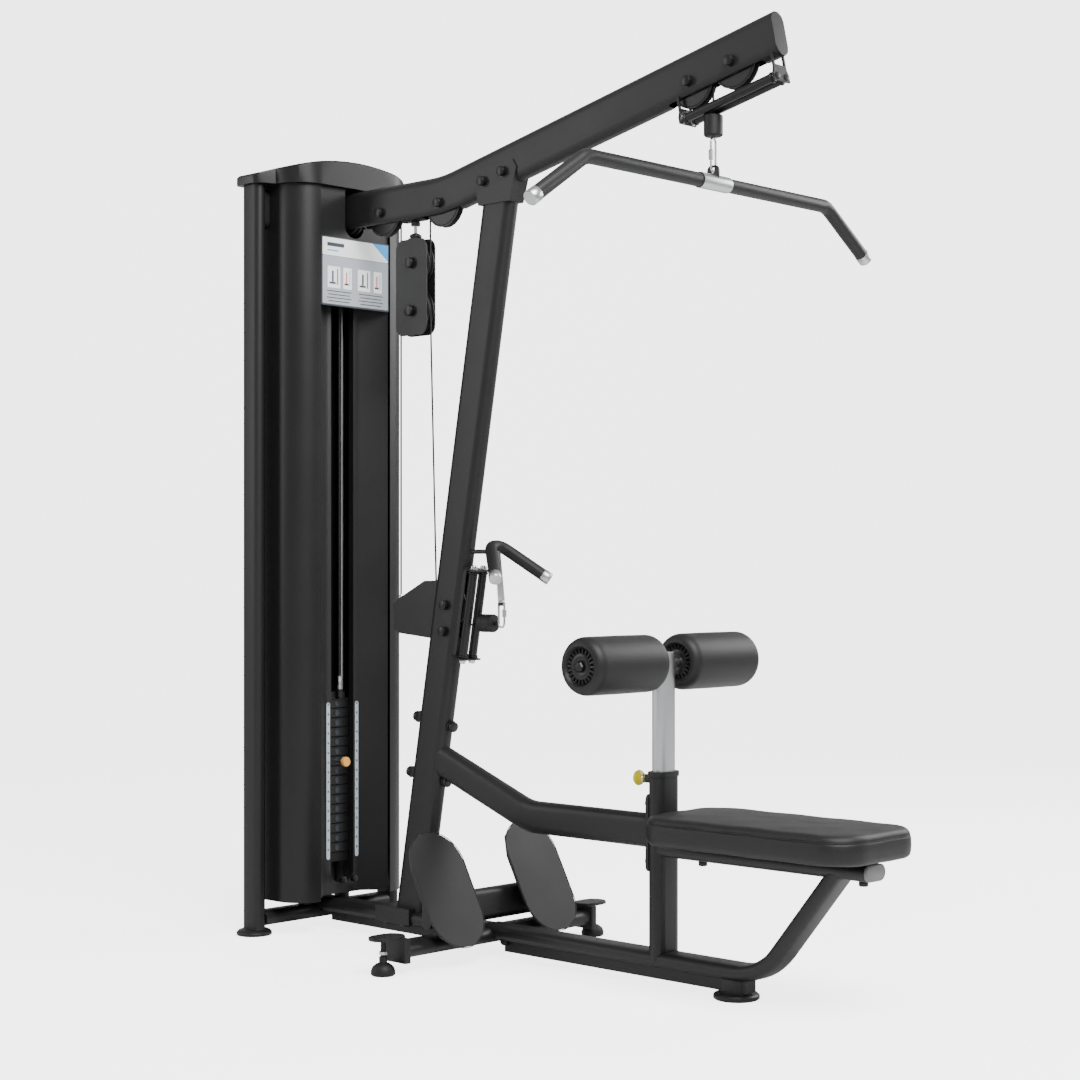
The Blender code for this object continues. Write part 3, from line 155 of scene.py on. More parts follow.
for name, node in nodes.items():
    node.data.materials.clear()
    node.data.materials.append(finish_of(name))
    weld = node.modifiers.new("weld", "WELD")
    weld.merge_threshold = 0.00002
    for polygon in node.data.polygons:
        polygon.use_smooth = True
    edge = node.modifiers.new("edge", "BEVEL")
    edge.width = 0.0012 if finish_of(name) is POWDER else 0.0007
    edge.segments = 2
    edge.limit_method = "ANGLE"
    edge.angle_limit = math.radians(42)
    edge.harden_normals = True
    normals = node.modifiers.new("normals", "WEIGHTED_NORMAL")
    normals.keep_sharp = False


# ---- mesh helpers ---------------------------------------------------------------------------
def V(x, y, z):
    """A point given with X counted from the stabilizer bar."""
    return Vector((x + SHIFT, y, z))


def add(name, bm, mat, body="frame", bevel=0.0, smooth=40):
    bmesh.ops.recalc_face_normals(bm, faces=bm.faces[:])
    mesh = bpy.data.meshes.new(name)
    bm.to_mesh(mesh)
    bm.free()
    for polygon in mesh.polygons:
        polygon.use_smooth = True
    mesh.set_sharp_from_angle(angle=math.radians(smooth))
    obj = bpy.data.objects.new(name, mesh)
    bpy.context.scene.collection.objects.link(obj)
    mesh.materials.append(mat)
    if bevel:
        edge = obj.modifiers.new("edge", "BEVEL")
        edge.width = bevel
        edge.segments = 3
        edge.limit_method = "ANGLE"
        edge.angle_limit = math.radians(35)
        edge.harden_normals = True
    if body:
        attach(obj, body)
    return obj


def loft(bm, rings, closed=False):
    rows = [[bm.verts.new(p) for p in ring] for ring in rings]
    count = len(rows[0])
    pairs = list(zip(rows, rows[1:]))
    if closed:
        pairs.append((rows[-1], rows[0]))
    for low, high in pairs:
        for i in range(count):
            k = (i + 1) % count
            bm.faces.new((low[i], low[k], high[k], high[i]))
    if not closed:
        bm.faces.new(rows[0][::-1])
        bm.faces.new(rows[-1])


def basis(axis):
    axis = Vector(axis).normalized()
    side = axis.cross(Vector((0, 0, 1)) if abs(axis.z) < 0.9 else Vector((1, 0, 0))).normalized()
    return axis, side, axis.cross(side)


def turn(bm, profile, centre, axis, sides=40):
    """A solid of revolution: profile is (radius, distance along the axis)."""
    axis, u, v = basis(axis)
    rings = []
    for r, t in profile:
        ring = []
        for i in range(sides):
            a = 2 * math.pi * i / sides
            radius = max(r, 0.0002)
            ring.append(Vector(centre) + axis * t + (u * math.cos(a) + v * math.sin(a)) * radius)
        rings.append(ring)
    loft(bm, rings)


def tube(bm, path, radius, sides=12, closed=False):
    rings = []
    last = len(path) - 1
    side = None
    for i, p in enumerate(path):
        ahead = path[(i + 1) % len(path)] if closed else path[min(i + 1, last)]
        along = (ahead - path[i - 1 if closed else max(i - 1, 0)]).normalized()
        side = basis(along)[1] if side is None else (side - along * side.dot(along)).normalized()
        up = along.cross(side)
        angles = [2 * math.pi * k / sides for k in range(sides)]
        rings.append([p + (side * math.cos(a) + up * math.sin(a)) * radius for a in angles])
    loft(bm, rings, closed)


def outline(length, width, corner, steps=8, spans=6):
    """A rounded rectangle with extra points along its straight sides."""
    corner = max(min(corner, length / 2 - 0.0005, width / 2 - 0.0005), 0.0005)
    centres = [(1, 1, 0), (-1, 1, 90), (-1, -1, 180), (1, -1, 270)]
    arcs = []
    for sx, sy, start in centres:
        cx, cy = sx * (length / 2 - corner), sy * (width / 2 - corner)
        turns = [math.radians(start + 90 * i / steps) for i in range(steps + 1)]
        arcs.append([Vector((cx + corner * math.cos(a), cy + corner * math.sin(a))) for a in turns])
    points = []
    for arc, after in zip(arcs, arcs[1:] + arcs[:1]):
        points += arc
        points += [arc[-1].lerp(after[0], i / spans) for i in range(1, spans)]
    return points


def block(bm, low, high):
    made = bmesh.ops.create_cube(bm, size=1.0)["verts"]
    low, high = Vector(low), Vector(high)
    for vert in made:
        vert.co = Vector([low[i] + (vert.co[i] + 0.5) * (high[i] - low[i]) for i in range(3)])


def slab(name, centre, u, v, size, corner, thick, mat, body="frame", bevel=0.0004):
    """A thin rounded plate whose back lies at centre; it rises along u x v."""
    u, v = Vector(u).normalized(), Vector(v).normalized()
    normal = u.cross(v)
    shape = outline(size[0], size[1], corner, 5, 1)
    bm = bmesh.new()
    loft(bm, [[Vector(centre) + u * p.x + v * p.y + normal * h for p in shape] for h in (0.0, thick)])
    return add(name, bm, mat, body, bevel)


def bolt(name, point, axis, radius=0.0125, body="frame"):
    """A domed bolt cap standing on a washer."""
    bm = bmesh.new()
    washer = [(1.16, 0.0), (1.16, 0.0016), (0.9, 0.0018)]
    turn(bm, [(radius * k, h) for k, h in washer], point, axis, 32)
    add(name + "_washer", bm, BOLT, body)
    bm = bmesh.new()
    cap = [(0.96, 0.0016), (1, 0.0026), (1, 0.0105), (0.94, 0.0122), (0.80, 0.0130), (0.0, 0.0134)]
    turn(bm, [(radius * k, h) for k, h in cap], point, axis, 32)
    add(name + "_cap", bm, BOLT, body)


# ---- seat pad -------------------------------------------------------------------------------
def seat_pad():
    low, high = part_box("seat_pad")
    middle = (low + high) / 2
    length, width = (high - low).xy
    # Each level is a height and how far the edge is set in: base, side, welt groove, shoulder, crown.
    levels = [(0.0, 0.010), (0.001, 0.006), (0.006, 0.001), (0.014, -0.001), (0.030, -0.0018)]
    levels += [(0.044, -0.001), (0.0488, 0.0008), (0.0500, 0.0034), (0.0508, 0.0036), (0.0516, 0.0012)]
    levels += [(0.0555, 0.0018), (0.0605, 0.0050), (0.0640, 0.0095), (0.0658, 0.0150)]
    for d in (0.010, 0.022, 0.036, 0.052, 0.070, 0.090, 0.110, 0.128):
        levels.append((0.0658 + 0.0052 * math.sin(math.pi / 2 * min(d / 0.115, 1)), 0.015 + d))
    bm = bmesh.new()
    rings = []
    for z, inset in levels:
        shape = outline(length - 2 * inset, width - 2 * inset, 0.080 - inset * 0.62, 10, 14)
        ring = []
        for p in shape:
            wander = 0.0006 * math.sin(p.x * 41 + z * 50) * math.sin(p.y * 57)
            ring.append(Vector((middle.x + p.x, p.y, low.z + z + wander)))
        rings.append(ring)
    loft(bm, rings)
    pad = add("upholstered_pad", bm, VINYL, "frame", smooth=80)
    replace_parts(pad, "seat_pad")
    bm = bmesh.new()
    shape = outline(length - 0.0026, width - 0.0026, 0.079, 10, 14)
    tube(bm, [Vector((middle.x + p.x, p.y, low.z + 0.0504)) for p in shape], 0.0013, 8, True)
    add("pad_welt", bm, VINYL, "frame")


# ---- knee rollers ---------------------------------------------------------------------------
def knee_roller(side, name):
    low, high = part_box(name)
    y0, y1 = sorted((abs(low.y), abs(high.y)))
    middle = Vector(((low.x + high.x) / 2, 0, (low.z + high.z) / 2))
    half = (y1 - y0) / 2
    centre = middle + Vector((0, side * (y0 + half), 0))
    profile = [(0.0102, -half + 0.010), (0.040, -half + 0.010), (0.044, -half + 0.004)]
    turns = [math.pi / 2 * i / 8 for i in range(9)]
    edge = [(0.0465 + 0.021 * math.sin(a), -half + 0.026 - 0.026 * math.cos(a)) for a in turns]
    profile += edge + [(0.0680, 0.0)] + [(r, -t) for r, t in edge[::-1]]
    profile += [(0.044, half - 0.004), (0.040, half - 0.010), (0.0102, half - 0.010)]
    bm = bmesh.new()
    turn(bm, profile, centre, (0, 1, 0), 64)
    roller = add(f"roller_foam_{name.split('_')[-1]}", bm, FOAM, name, smooth=50)
    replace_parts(roller, name)
    for end in (-1, 1):
        face = centre + Vector((0, end * (half - 0.0095), 0))
        axis = (0, end, 0)
        bm = bmesh.new()
        for k in range(22):
            a = 2 * math.pi * k / 22
            out = Vector((math.cos(a), 0, math.sin(a)))
            tip = face + out * 0.0355 + Vector((0, end * 0.002, 0))
            tube(bm, [tip - out * 0.006, tip + out * 0.004, tip + out * 0.006], 0.0030, 8)
        hub = [(0.0300, 0.0), (0.0300, 0.0040), (0.0270, 0.0056), (0.0150, 0.0056), (0.0130, 0.0040)]
        turn(bm, hub, face, axis, 40)
        add(f"{roller.name}_hub_{end}", bm, NYLON, name)
    bm = bmesh.new()
    outer = centre + Vector((0, side * (half - 0.006), 0))
    nut = [(0.0125, 0.0), (0.0125, 0.0060), (0.0100, 0.0095), (0.0, 0.0100)]
    turn(bm, nut, outer, (0, side, 0), 6)
    add(f"{roller.name}_nut", bm, BOLT, name, 0.0006, 30)


# ---- weights --------------------------------------------------------------------------------
PITCH = 0.0265  # one plate and its gap
PLATES, RESTING = 16, 9
STACK_Z = 0.204  # underside of the lowest plate
STACK_X = -0.6575  # middle of the plates
PLATE_LENGTH, PLATE_WIDTH = 0.095, 0.300


def weights():
    made = {"frame": [], "lifted_weights": []}
    for i in range(PLATES):
        body = "frame" if i < RESTING else "lifted_weights"
        z = STACK_Z + i * PITCH
        shape = outline(PLATE_LENGTH, PLATE_WIDTH, 0.008, 4, 1)
        bm = bmesh.new()
        rings = []
        for h, inset in ((0.0006, 0.0014), (0.0018, 0.0), (0.0246, 0.0), (0.0259, 0.0014)):
            scale = [1 - 2 * inset / PLATE_LENGTH, 1 - 2 * inset / PLATE_WIDTH]
            rings.append([V(STACK_X + p.x * scale[0], p.y * scale[1], z + h) for p in shape])
        loft(bm, rings)
        plate = add(f"plate_{i + 1:02d}", bm, IRON, body, smooth=30)
        made[body].append(plate)
        bm = bmesh.new()
        turns = [2 * math.pi * k / 24 for k in range(24)]
        ring = [V(-0.6094, 0.0072 * math.cos(a), z + PITCH / 2 + 0.0072 * math.sin(a)) for a in turns]
        tube(bm, ring, 0.0009, 8, True)
        turn(bm, [(0.0064, 0.0), (0.0064, 0.0004)], V(-0.6100, 0, z + PITCH / 2), (1, 0, 0), 24)
        add(f"plate_hole_{i + 1:02d}", bm, INK, body)
    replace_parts(made["frame"][0], "resting_plates")
    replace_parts(made["lifted_weights"][0], "lifted_plates")
    top = STACK_Z + PLATES * PITCH
    bm = bmesh.new()
    shape = outline(0.050, 0.060, 0.006, 4, 1)
    loft(bm, [[V(-0.632 + p.x, p.y, top + h) for p in shape] for h in (-0.001, 0.018)])
    block(bm, V(-0.612, -0.006, top), V(-0.594, 0.006, top + 0.016))
    add("lift_head", bm, IRON, "lifted_weights", 0.0015)
    bm = bmesh.new()
    sleeve = [(0.0085, 0.004), (0.0095, 0.006), (0.0095, 0.024), (0.0075, 0.026)]
    turn(bm, sleeve, V(LIFT_X, 0, top), (0, 0, 1), 24)
    add("lift_sleeve", bm, NYLON, "lifted_weights")
    bm = bmesh.new()
    link = [(0.0058, 0.025), (0.0062, 0.034), (0.0050, 0.038)]
    link += [(0.0050, 0.050), (0.0062, 0.054), (0.0058, 0.063)]
    turn(bm, link, V(LIFT_X, 0, top), (0, 0, 1), 20)
    add("lift_link", bm, ZINC, "lifted_weights")


def selector_pin():
    low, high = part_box("selector_pin")
    z = (low.z + high.z) / 2
    centre = Vector((high.x, 0, z))
    bm = bmesh.new()
    disc = [(0.0048, -0.0135), (0.0128, -0.0125), (0.0135, -0.0100), (0.0135, -0.0035), (0.0122, -0.0008)]
    disc += [(0.0080, 0.0), (0.0074, -0.0010), (0.0, -0.0012)]
    turn(bm, disc, centre, (1, 0, 0), 40)
    head = add("pin_head", bm, AMBER, "selector_pin")
    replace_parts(head, "selector_pin")
    bm = bmesh.new()
    turn(bm, [(0.0030, -0.0880), (0.0044, -0.0860), (0.0047, -0.0100)], centre, (1, 0, 0), 24)
    add("pin_shaft", bm, CHROME, "selector_pin")


# ---- tower details --------------------------------------------------------------------------
def number_strips():
    for side in (-1, 1):
        x, y = -0.5868, side * 0.0515
        strip, size = f"number_strip_{side}", (0.0125, 0.430)
        slab(strip, V(x, y, 0.405), (0, 1, 0), (0, 0, 1), size, 0.006, 0.0008, STRIP)
        bm = bmesh.new()
        for i in range(PLATES):
            z = STACK_Z + (i + 0.5) * PITCH
            for near, far in ((-0.0022, 0.0002), (0.0012, 0.0026)):
                block(bm, V(x + 0.0006, y + near, z - 0.0030), V(x + 0.0011, y + far, z + 0.0030))
        add(f"number_marks_{side}", bm, INK)


def placard():
    low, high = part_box("placard")
    nodes["placard"].data.materials[0] = INK
    x = high.x
    y = (low.y + high.y) / 2
    width, height = high.y - low.y, high.z - low.z
    across, up = (0, 1, 0), (0, 0, 1)

    def patch(name, cy, cz, w, h, mat, lift=0.0003, corner=0.001):
        centre = (x + lift, y + cy, low.z + cz)
        slab("placard_" + name, centre, across, up, (w, h), corner, 0.0003, mat, bevel=0.0)

    patch("header", 0, height - 0.028, width - 0.008, 0.048, WHITE, 0.0001, 0.003)
    middle = (height - 0.052) / 2 + 0.002
    patch("body", 0, middle, width - 0.008, height - 0.058, PANEL_GREY, 0.0001, 0.003)
    bm = bmesh.new()
    edge, rim = width / 2 - 0.004, height - 0.004
    corner = [(edge, rim), (edge - 0.056, rim), (edge, rim - 0.044)]
    loft(bm, [[Vector((x + h, y + a, low.z + b)) for a, b in corner] for h in (0.0004, 0.0008)])
    add("placard_corner", bm, CYAN)
    patch("mark", -width / 2 + 0.050, height - 0.022, 0.060, 0.010, INK, 0.0005)
    patch("subline", -width / 2 + 0.040, height - 0.038, 0.040, 0.003, CYAN, 0.0005)
    for k, (cy, w) in enumerate(((-0.078, 0.045), (-0.030, 0.030), (0.030, 0.045), (0.080, 0.030))):
        patch(f"window_{k}", cy, 0.078, w, 0.058, WHITE, 0.0004, 0.002)
        patch(f"seat_mark_{k}", cy - w * 0.12, 0.062, w * 0.5, 0.005, INK, 0.0008)
        patch(f"torso_mark_{k}", cy - w * 0.10, 0.080, w * 0.13, 0.030, RED if k % 2 else INK, 0.0008)
        patch(f"frame_mark_{k}", cy + w * 0.28, 0.080, w * 0.07, 0.044, CYAN if k % 2 else INK, 0.0008)
    for k in range(4):
        for cy in (-0.060, 0.055):
            length = 0.088 - 0.012 * (k % 2)
            patch(f"line_{k}_{cy > 0}", cy, 0.040 - k * 0.009, length, 0.0022, INK, 0.0004, 0.0005)


# ---- bolts ----------------------------------------------------------------------------------
def bolts():
    boom = ((BOOM_REAR_X, AXLE_Z), (BOOM_FRONT_X, AXLE_Z), (-0.011, 1.976), (0.060, 1.992))
    for k, (x, z) in enumerate(boom):
        for side in (-1, 1):
            # The two front bolts stand on the saddle plates.
            face = 0.0266 if k > 1 else TUBE_HALF
            bolt(f"boom_bolt_{k}_{side}", V(x, side * face, z), (0, side, 0))
    for k, name in enumerate(("tip_pulley_rear", "tip_pulley_front")):
        low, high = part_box(name)
        for side in (-1, 1):
            point = Vector(((low.x + high.x) / 2, side * TUBE_HALF, (low.z + high.z) / 2))
            bolt(f"tip_bolt_{k}_{side}", point, (0, side, 0))
    for k, z in enumerate((BLOCK_UPPER_Z, BLOCK_LOWER_Z)):
        for side in (-1, 1):
            bolt(f"block_bolt_{k}_{side}", V(BLOCK_X, side * 0.0172, z), (0, side, 0), 0.0145, "pulley_block")
    for k, (x, z) in enumerate((ROW_PULLEY, (-0.158, 0.824))):
        for side in (-1, 1):
            bolt(f"gusset_bolt_{k}_{side}", V(x, side * TUBE_HALF, z), (0, side, 0))
    post = ((-0.282, 0.596, -1), (-0.309, 0.448, -1), (-0.148, 0.574, 1), (-0.171, 0.429, 1))
    for k, (x, z, way) in enumerate(post):
        axis = Vector((way, 0, -math.tan(LEAN) * way)).normalized()
        bolt(f"post_bolt_{k}", V(x, 0, z) - axis * 0.006, axis, 0.0135)
    for k, (x, z) in enumerate(((-0.371, 0.051), (-0.304, 0.050))):
        for side in (-1, 1):
            bolt(f"base_bolt_{k}_{side}", V(x, side * 0.0236, z), (0, side, 0), 0.0125)
    for side in (-1, 1):
        bolt(f"rail_bolt_{side}", V(0.067, side * 0.0195, 0.047), (0, side, 0), 0.0120)
        bolt(f"tower_screw_{side}", V(-0.6545, side * 0.241, 2.003), (1, 0, 0), 0.0050)
        bolt(f"rod_screw_{side}", V(-0.5660, side * 0.020, 0.135), (1, 0, 0), 0.0090)
    for k, z in enumerate((0.430, 0.292)):
        bolt(f"seat_post_bolt_{k}", V(0.5385, -0.004, z), (-1, 0, 0), 0.0140)
    slab("beam_flange", V(0.5482, 0, 0.361), (0, -1, 0), (0, 0, 1), (0.060, 0.184), 0.012, 0.0098, POWDER,
         bevel=0.0012)
    for k, x in enumerate((0.690, 1.140)):
        bolt(f"seat_bolt_{k}", V(x, 0, 0.308), (0, 0, -1), 0.0105)


# ---- lat bar, handle, knob ------------------------------------------------------------------
def rings_and_caps():
    bm = bmesh.new()
    half_sleeve = [(0.0175, -0.052), (0.0185, -0.0515), (0.0187, -0.050)]
    sleeve = half_sleeve + [(r, -t) for r, t in half_sleeve[::-1]]
    turn(bm, sleeve, V(BAR_X, 0, BAR_Z), (0, 1, 0), 40)
    add("bar_sleeve", bm, SATIN, "lat_bar")
    for side in (-1, 1):
        axis = Vector((0, side * (BAR_TIP_Y - 0.440), BAR_TIP_Z - BAR_Z)).normalized()
        tip = V(BAR_X, side * BAR_TIP_Y, BAR_TIP_Z)
        bm = bmesh.new()
        cap = [(0.0172, -0.024), (0.0176, -0.0235), (0.0176, -0.001), (0.0160, 0.0012), (0.0, 0.0020)]
        turn(bm, cap, tip, axis, 32)
        add(f"bar_end_cap_{side}", bm, SATIN, "lat_bar")
    out = Vector((0.111, 0, -0.098)).normalized()
    for side in (-1, 1):
        axis = (Vector((0, side, 0)) * 0.098 + out * 0.160).normalized()
        tip = V(-0.008, side * 0.098, 1.060) + out * 0.152
        bm = bmesh.new()
        cap = [(0.0158, -0.022), (0.0162, -0.0215), (0.0162, -0.001), (0.0148, 0.0010), (0.0, 0.0018)]
        turn(bm, cap, tip, axis, 32)
        add(f"handle_end_cap_{side}", bm, SATIN, "row_handle")
    bm = bmesh.new()
    ring = [(0.0095, 0.0), (0.0110, 0.0015), (0.0110, 0.0050), (0.0085, 0.0060)]
    turn(bm, ring, V(0.5085, 0, 0.487), (1, 0, 0), 32)
    add("knob_ring", bm, CHROME, "pull_knob")
    low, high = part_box("seat_frame")
    bm = bmesh.new()
    shape = outline(0.0375, 0.0755, 0.0187, 8, 1)
    middle = (low.z + high.z) / 2
    rings = []
    for h, inset in ((-0.0004, 0.0), (0.0040, 0.0), (0.0060, 0.0022)):
        wide, tall = 1 - inset * 26, 1 - inset * 52
        rings.append([Vector((high.x + h, p.y * wide, middle + p.x * tall)) for p in shape])
    loft(bm, rings)
    add("seat_frame_cap", bm, GREY, "frame")


def links_and_studs():
    """The steel strap of the handle, the screw sleeves of the links and the stud above the pulley block."""
    top, end = V(0.0125, 0, 1.050), V(0.030, 0, 0.900)
    along = (top - end).normalized()
    out = Vector((0, 1, 0)).cross(along)
    bm = bmesh.new()
    edge = [(-0.0115, 0.0), (0.0115, 0.0), (0.0095, 0.150), (-0.0095, 0.150)]
    loft(bm, [[end + Vector((0, a, 0)) + along * b + out * h for a, b in edge] for h in (-0.0021, 0.0021)])
    add("handle_steel_strap", bm, SATIN, "row_handle", 0.0008)
    bm = bmesh.new()
    sleeve = [(0.0045, 0.0), (0.0058, 0.001), (0.0058, 0.019), (0.0045, 0.020)]
    turn(bm, sleeve, V(0.040, 0, 0.863), (0, 0, 1), 6)
    add("row_link_sleeve", bm, ZINC, "row_handle", 0.0004, 30)
    bm = bmesh.new()
    sleeve = [(0.0045, 0.0), (0.0060, 0.001), (0.0060, 0.023), (0.0045, 0.024)]
    turn(bm, sleeve, V(BAR_X, -0.0085, 1.934), (0, 0, 1), 6)
    add("bar_link_sleeve", bm, ZINC, "lat_bar", 0.0004, 30)
    bm = bmesh.new()
    boss = [(0.0110, 0.0), (0.0125, 0.0015), (0.0125, 0.0100), (0.0110, 0.0110)]
    turn(bm, boss, V(BLOCK_X, 0, 1.8960), (0, 0, 1), 28)
    add("block_stop_boss", bm, RUBBER, "frame")
    bm = bmesh.new()
    stud = [(0.0040, 0.0), (0.0048, 0.001), (0.0048, 0.019), (0.0075, 0.0192), (0.0075, 0.0205)]
    turn(bm, stud, V(BLOCK_X, 0, 1.8765), (0, 0, 1), 20)
    add("block_stop_stud", bm, ZINC, "frame")


def foot_plate_rims():
    tilt = math.radians(28.6)
    up = Vector((-math.sin(tilt), 0, math.cos(tilt)))
    face = Vector((math.cos(tilt), 0, math.sin(tilt)))
    for side in (-1, 1):
        centre = V(0.0, side * 0.170, 0.183) + face * 0.0073
        bm = bmesh.new()
        shape = outline(0.1815, 0.3105, 0.0905, 14, 3)
        tube(bm, [centre + Vector((0, p.x, 0)) + up * p.y for p in shape], 0.0011, 8, True)
        add(f"foot_plate_rim_{side}", bm, POWDER)
        shape = outline(0.176, 0.305, 0.088, 14, 3)
        bm = bmesh.new()
        flat = [centre + Vector((0, p.x, 0)) + up * p.y for p in shape]
        loft(bm, [[p + face * h for p in flat] for h in (-0.0003, 0.0005)])
        add(f"foot_plate_mat_{side}", bm, RUBBER)


# ---- guide rollers, leveling feet -----------------------------------------------------------
def guide_ends():
    along_boom = (math.cos(SLOPE), 0, math.sin(SLOPE))
    along_post = (math.sin(LEAN), 0, math.cos(LEAN))
    sets = [(f"boom_guide_{side}", along_boom, 0.132, 0.0105) for side in ("left", "right")]
    sets += [(f"row_guide_{side}", along_post, 0.1135, 0.0115) for side in ("left", "right")]
    for name, axis, half, radius in sets:
        low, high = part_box(name)
        centre = (low + high) / 2
        axis = Vector(axis)
        for end in (-1, 1):
            bm = bmesh.new()
            flange = [(radius + 0.0002, 0.0), (radius + 0.0022, 0.0012)]
            flange += [(radius + 0.0022, 0.0050), (radius, 0.0062)]
            turn(bm, flange, centre + axis * end * (half - 0.0075), axis * end, 28)
            add(f"{name}_flange_{end}", bm, NYLON, name)
            out = centre + axis * end * (half + (0.0040 if "boom" in name else 0.0052))
            bm = bmesh.new()
            turn(bm, [(0.0105, 0.0), (0.0105, 0.0014)], out, axis * end, 24)
            add(f"{name}_washer_{end}", bm, ZINC, "frame")
            bm = bmesh.new()
            nut = [(0.0088, 0.0014), (0.0092, 0.0060), (0.0070, 0.0095), (0.0, 0.0105)]
            turn(bm, nut, out, axis * end, 24)
            mat, slot = (CHROME, "chrome") if "row" in name else (BOLT, "nylon")
            add(f"{name}_cap_nut_{end}", bm, mat, "frame")


def feet_details():
    for name in ("leveling_foot_left", "leveling_foot_right"):
        low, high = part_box(name)
        x, y = (low.x + high.x) / 2, (low.y + high.y) / 2
        bm = bmesh.new()
        nut = [(0.0090, 0.0), (0.0105, 0.001), (0.0105, 0.008), (0.0090, 0.009)]
        turn(bm, nut, Vector((x, y, 0.0500)), (0, 0, 1), 6)
        add(name + "_nut", bm, ZINC, name, 0.0004, 30)


# ---- cables ---------------------------------------------------------------------------------
def arc(cx, cz, start, end, radius, steps=16):
    turns = [math.radians(start + (end - start) * i / steps) for i in range(steps + 1)]
    return [V(cx + radius * math.cos(a), 0, cz + radius * math.sin(a)) for a in turns]


def straight(a, b, steps):
    return [a.lerp(b, i / steps) for i in range(steps + 1)]


def strand(name, path, moving=None):
    """A run of cable: it rides on the frame, or, where it runs between the frame and a moving body, it is
    left on no body with its placement baked in.
    """
    bm = bmesh.new()
    tube(bm, path, CABLE_RADIUS, 10)
    obj = add(name, bm, CABLE, None if moving else "frame")
    if moving:
        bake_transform(obj)
    return obj


def cables():
    top = STACK_Z + PLATES * PITCH + 0.062
    line = straight(V(LIFT_X, 0, TOWER_PULLEY[1]), V(LIFT_X, 0, top), 60)
    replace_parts(strand("lift_cable", line, "lifted_weights"), "stack_cable")
    strand("lift_wrap", arc(*TOWER_PULLEY, 180, 75, 0.045))
    strand("boom_wrap_rear", arc(BOOM_REAR_X, AXLE_Z, 95, 0, PULLEY_WRAP))
    strand("boom_wrap_front", arc(BOOM_FRONT_X, AXLE_Z, 180, 78, PULLEY_WRAP))
    rear, front = BLOCK_X - PULLEY_WRAP, BLOCK_X + PULLEY_WRAP
    wrap = arc(BLOCK_X, BLOCK_UPPER_Z, 0, -180, PULLEY_WRAP)
    loop = straight(V(front, 0, AXLE_Z), wrap[0], 14)[:-1] + wrap
    loop += straight(wrap[-1], V(rear, 0, AXLE_Z), 14)[1:]
    loop = strand("lat_loop", loop, "pulley_block")
    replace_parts(loop, "lat_cable_loop")
    wrap = arc(BLOCK_X, BLOCK_LOWER_Z, 180, 0, PULLEY_WRAP)
    loop = straight(V(rear, 0, 0.900), wrap[0], 60)[:-1] + wrap
    loop += straight(wrap[-1], V(-0.210, 0, ROW_PULLEY[1]), 60)[1:]
    loop = strand("row_loop", loop, "pulley_block")
    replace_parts(loop, "row_cable_loop")
    strand("row_wrap", arc(*ROW_PULLEY, 180, 270, PULLEY_WRAP))
    line = straight(V(ROW_PULLEY[0], 0, 0.835), V(-0.040, 0, 0.8465), 24)
    strand("row_lead", line, "row_cable_end")
    low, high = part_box("lat_cable_drop")
    x = (low.x + high.x) / 2
    line = straight(Vector((x, 0, high.z)), Vector((x, 0, low.z - 0.001)), 30)
    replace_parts(strand("lat_drop", line, "lat_cable_end"), "lat_cable_drop")
    strand("tip_wrap", arc(0.664, high.z, 0, 100, PULLEY_WRAP))
    bm = bmesh.new()
    ferrule = [(0.0050, 0.0), (0.0062, 0.001), (0.0062, 0.014), (0.0040, 0.018)]
    turn(bm, ferrule, V(rear, 0, 0.8995), (0, 0, 1), 20)
    add("anchor_ferrule", bm, ZINC, "frame")


def pulley_details():
    for name in [n for n in nodes if "pulley" in n and n != "pulley_block"]:
        low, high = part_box(name)
        centre = (low + high) / 2
        radius = (high.z - low.z) / 2
        for side in (-1, 1):
            bm = bmesh.new()
            for r in (radius - 0.004, radius * 0.45):
                turns = [2 * math.pi * k / 40 for k in range(40)]
                ring = [centre + Vector((r * math.cos(t), side * 0.0100, r * math.sin(t))) for t in turns]
                tube(bm, ring, 0.0012, 6, True)
            add(f"{name}_rib_{side}", bm, NYLON, name)


seat_pad()
knee_roller(-1, "knee_roller_left")
knee_roller(1, "knee_roller_right")
weights()
selector_pin()
number_strips()
placard()
bolts()
rings_and_caps()
links_and_studs()
foot_plate_rims()
guide_ends()
feet_details()
cables()
pulley_details()


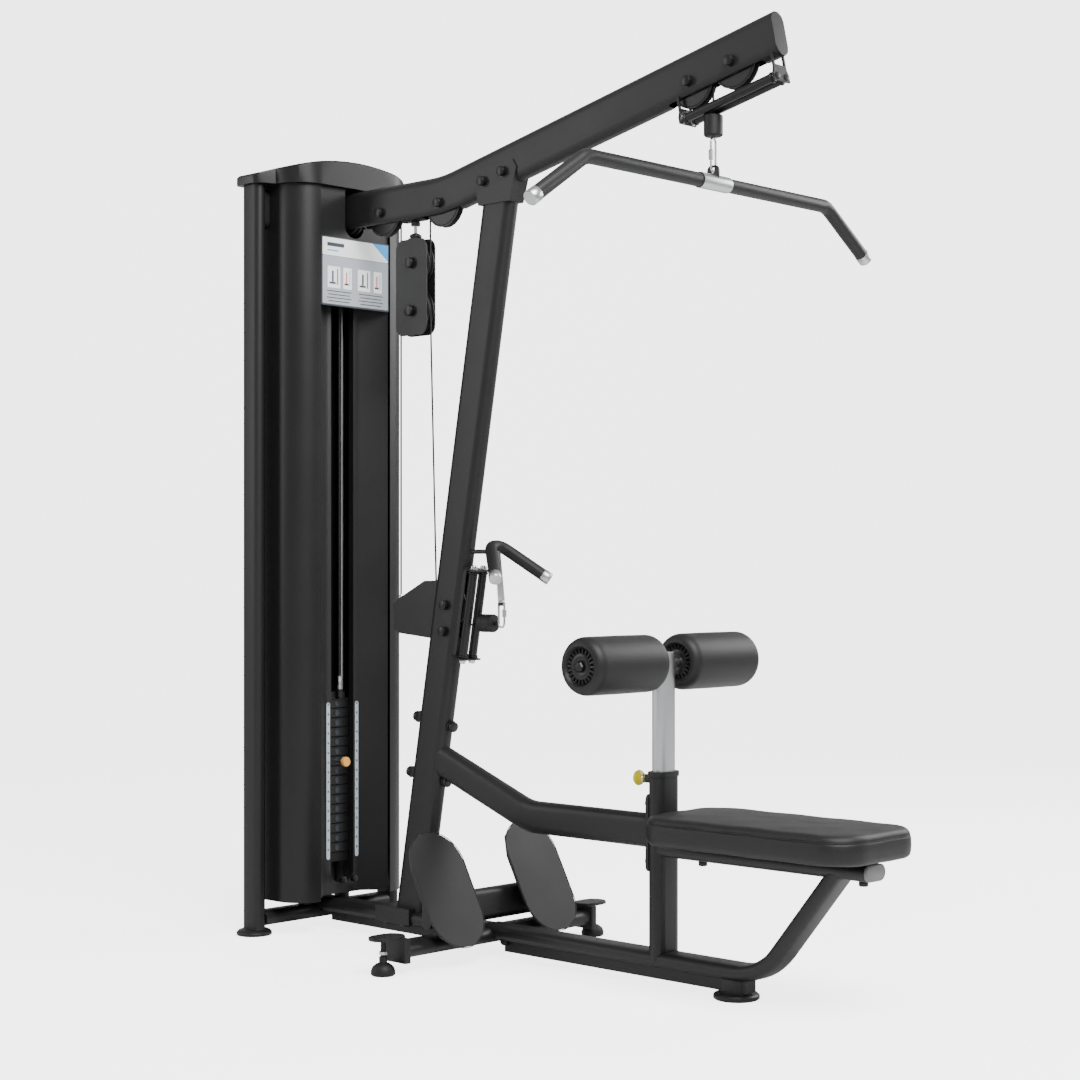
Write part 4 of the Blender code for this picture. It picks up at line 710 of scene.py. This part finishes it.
# ---- floor, light, camera -------------------------------------------------------------------
def studio():
    """A pale floor that curves up into a backdrop, soft lamps, and the camera."""
    curve = [math.pi / 2 * i / 12 for i in range(1, 13)]
    profile = [(-9.0, 0.0), (4.0, 0.0), (6.0, 0.0)]
    profile += [(6.0 + 3 * math.sin(a), 3 - 3 * math.cos(a)) for a in curve] + [(9.0, 9.0)]
    bm = bmesh.new()
    rows = [[bm.verts.new((x, y, z)) for x in (-14, 14)] for y, z in profile]
    for low, high in zip(rows, rows[1:]):
        bm.faces.new((low[0], low[1], high[1], high[0]))
    bmesh.ops.rotate(bm, verts=bm.verts, cent=(0, 0, 0), matrix=Matrix.Rotation(VIEW_TURN, 3, "Z"))
    white = surface("studio_white", (0.90, 0.90, 0.90), 0.6, grain=40, bump=0.0, vary=0.01)
    # The floor glows to the camera only, so that it reads as a white backdrop and doesn't light the machine.
    tree = white.node_tree
    glow = tree.nodes["Principled BSDF"].inputs
    glow["Emission Color"].default_value = (1, 1, 1, 1)
    seen = tree.nodes.new("ShaderNodeLightPath")
    glare = tree.nodes.new("ShaderNodeMath")
    glare.operation = "MULTIPLY"
    glare.inputs[1].default_value = 3.2
    tree.links.new(seen.outputs["Is Camera Ray"], glare.inputs[0])
    tree.links.new(glare.outputs[0], glow["Emission Strength"])
    floor = add("studio_floor", bm, white, None, smooth=60)
    world = bpy.data.worlds.new("studio")
    bpy.context.scene.world = world
    world.use_nodes = True
    world.node_tree.nodes["Background"].inputs[0].default_value = (1, 1, 1, 1)
    world.node_tree.nodes["Background"].inputs[1].default_value = 0.5

    def lamp(name, place, target, size, power):
        data = bpy.data.lights.new(name, "AREA")
        data.shape = "RECTANGLE"
        data.size, data.size_y = size
        data.energy = power
        obj = bpy.data.objects.new(name, data)
        bpy.context.scene.collection.objects.link(obj)
        obj.location = place
        aim = Vector(target) - Vector(place)
        obj.rotation_euler = aim.to_track_quat("-Z", "Y").to_euler()

    lamp("key", (2.6, -1.2, 4.2), (0, 0, 0.9), (2.4, 2.4), 330)
    lamp("left", (-3.4, -3.4, 2.4), (-0.5, 0, 1.0), (1.2, 3.2), 60)
    lamp("rim", (1.5, 4.0, 3.0), (0, 0, 1.0), (3.0, 2.0), 160)
    camera = bpy.data.cameras.new("camera")
    camera.lens = 69.07
    camera.sensor_width = 36.0
    camera.shift_y = 0.0254
    view = bpy.data.objects.new("camera", camera)
    bpy.context.scene.collection.objects.link(view)
    view.location = (3.5087, -3.752, 0.990)
    view.rotation_euler = (math.radians(90), 0, VIEW_TURN)
    bpy.context.scene.camera = view


studio()
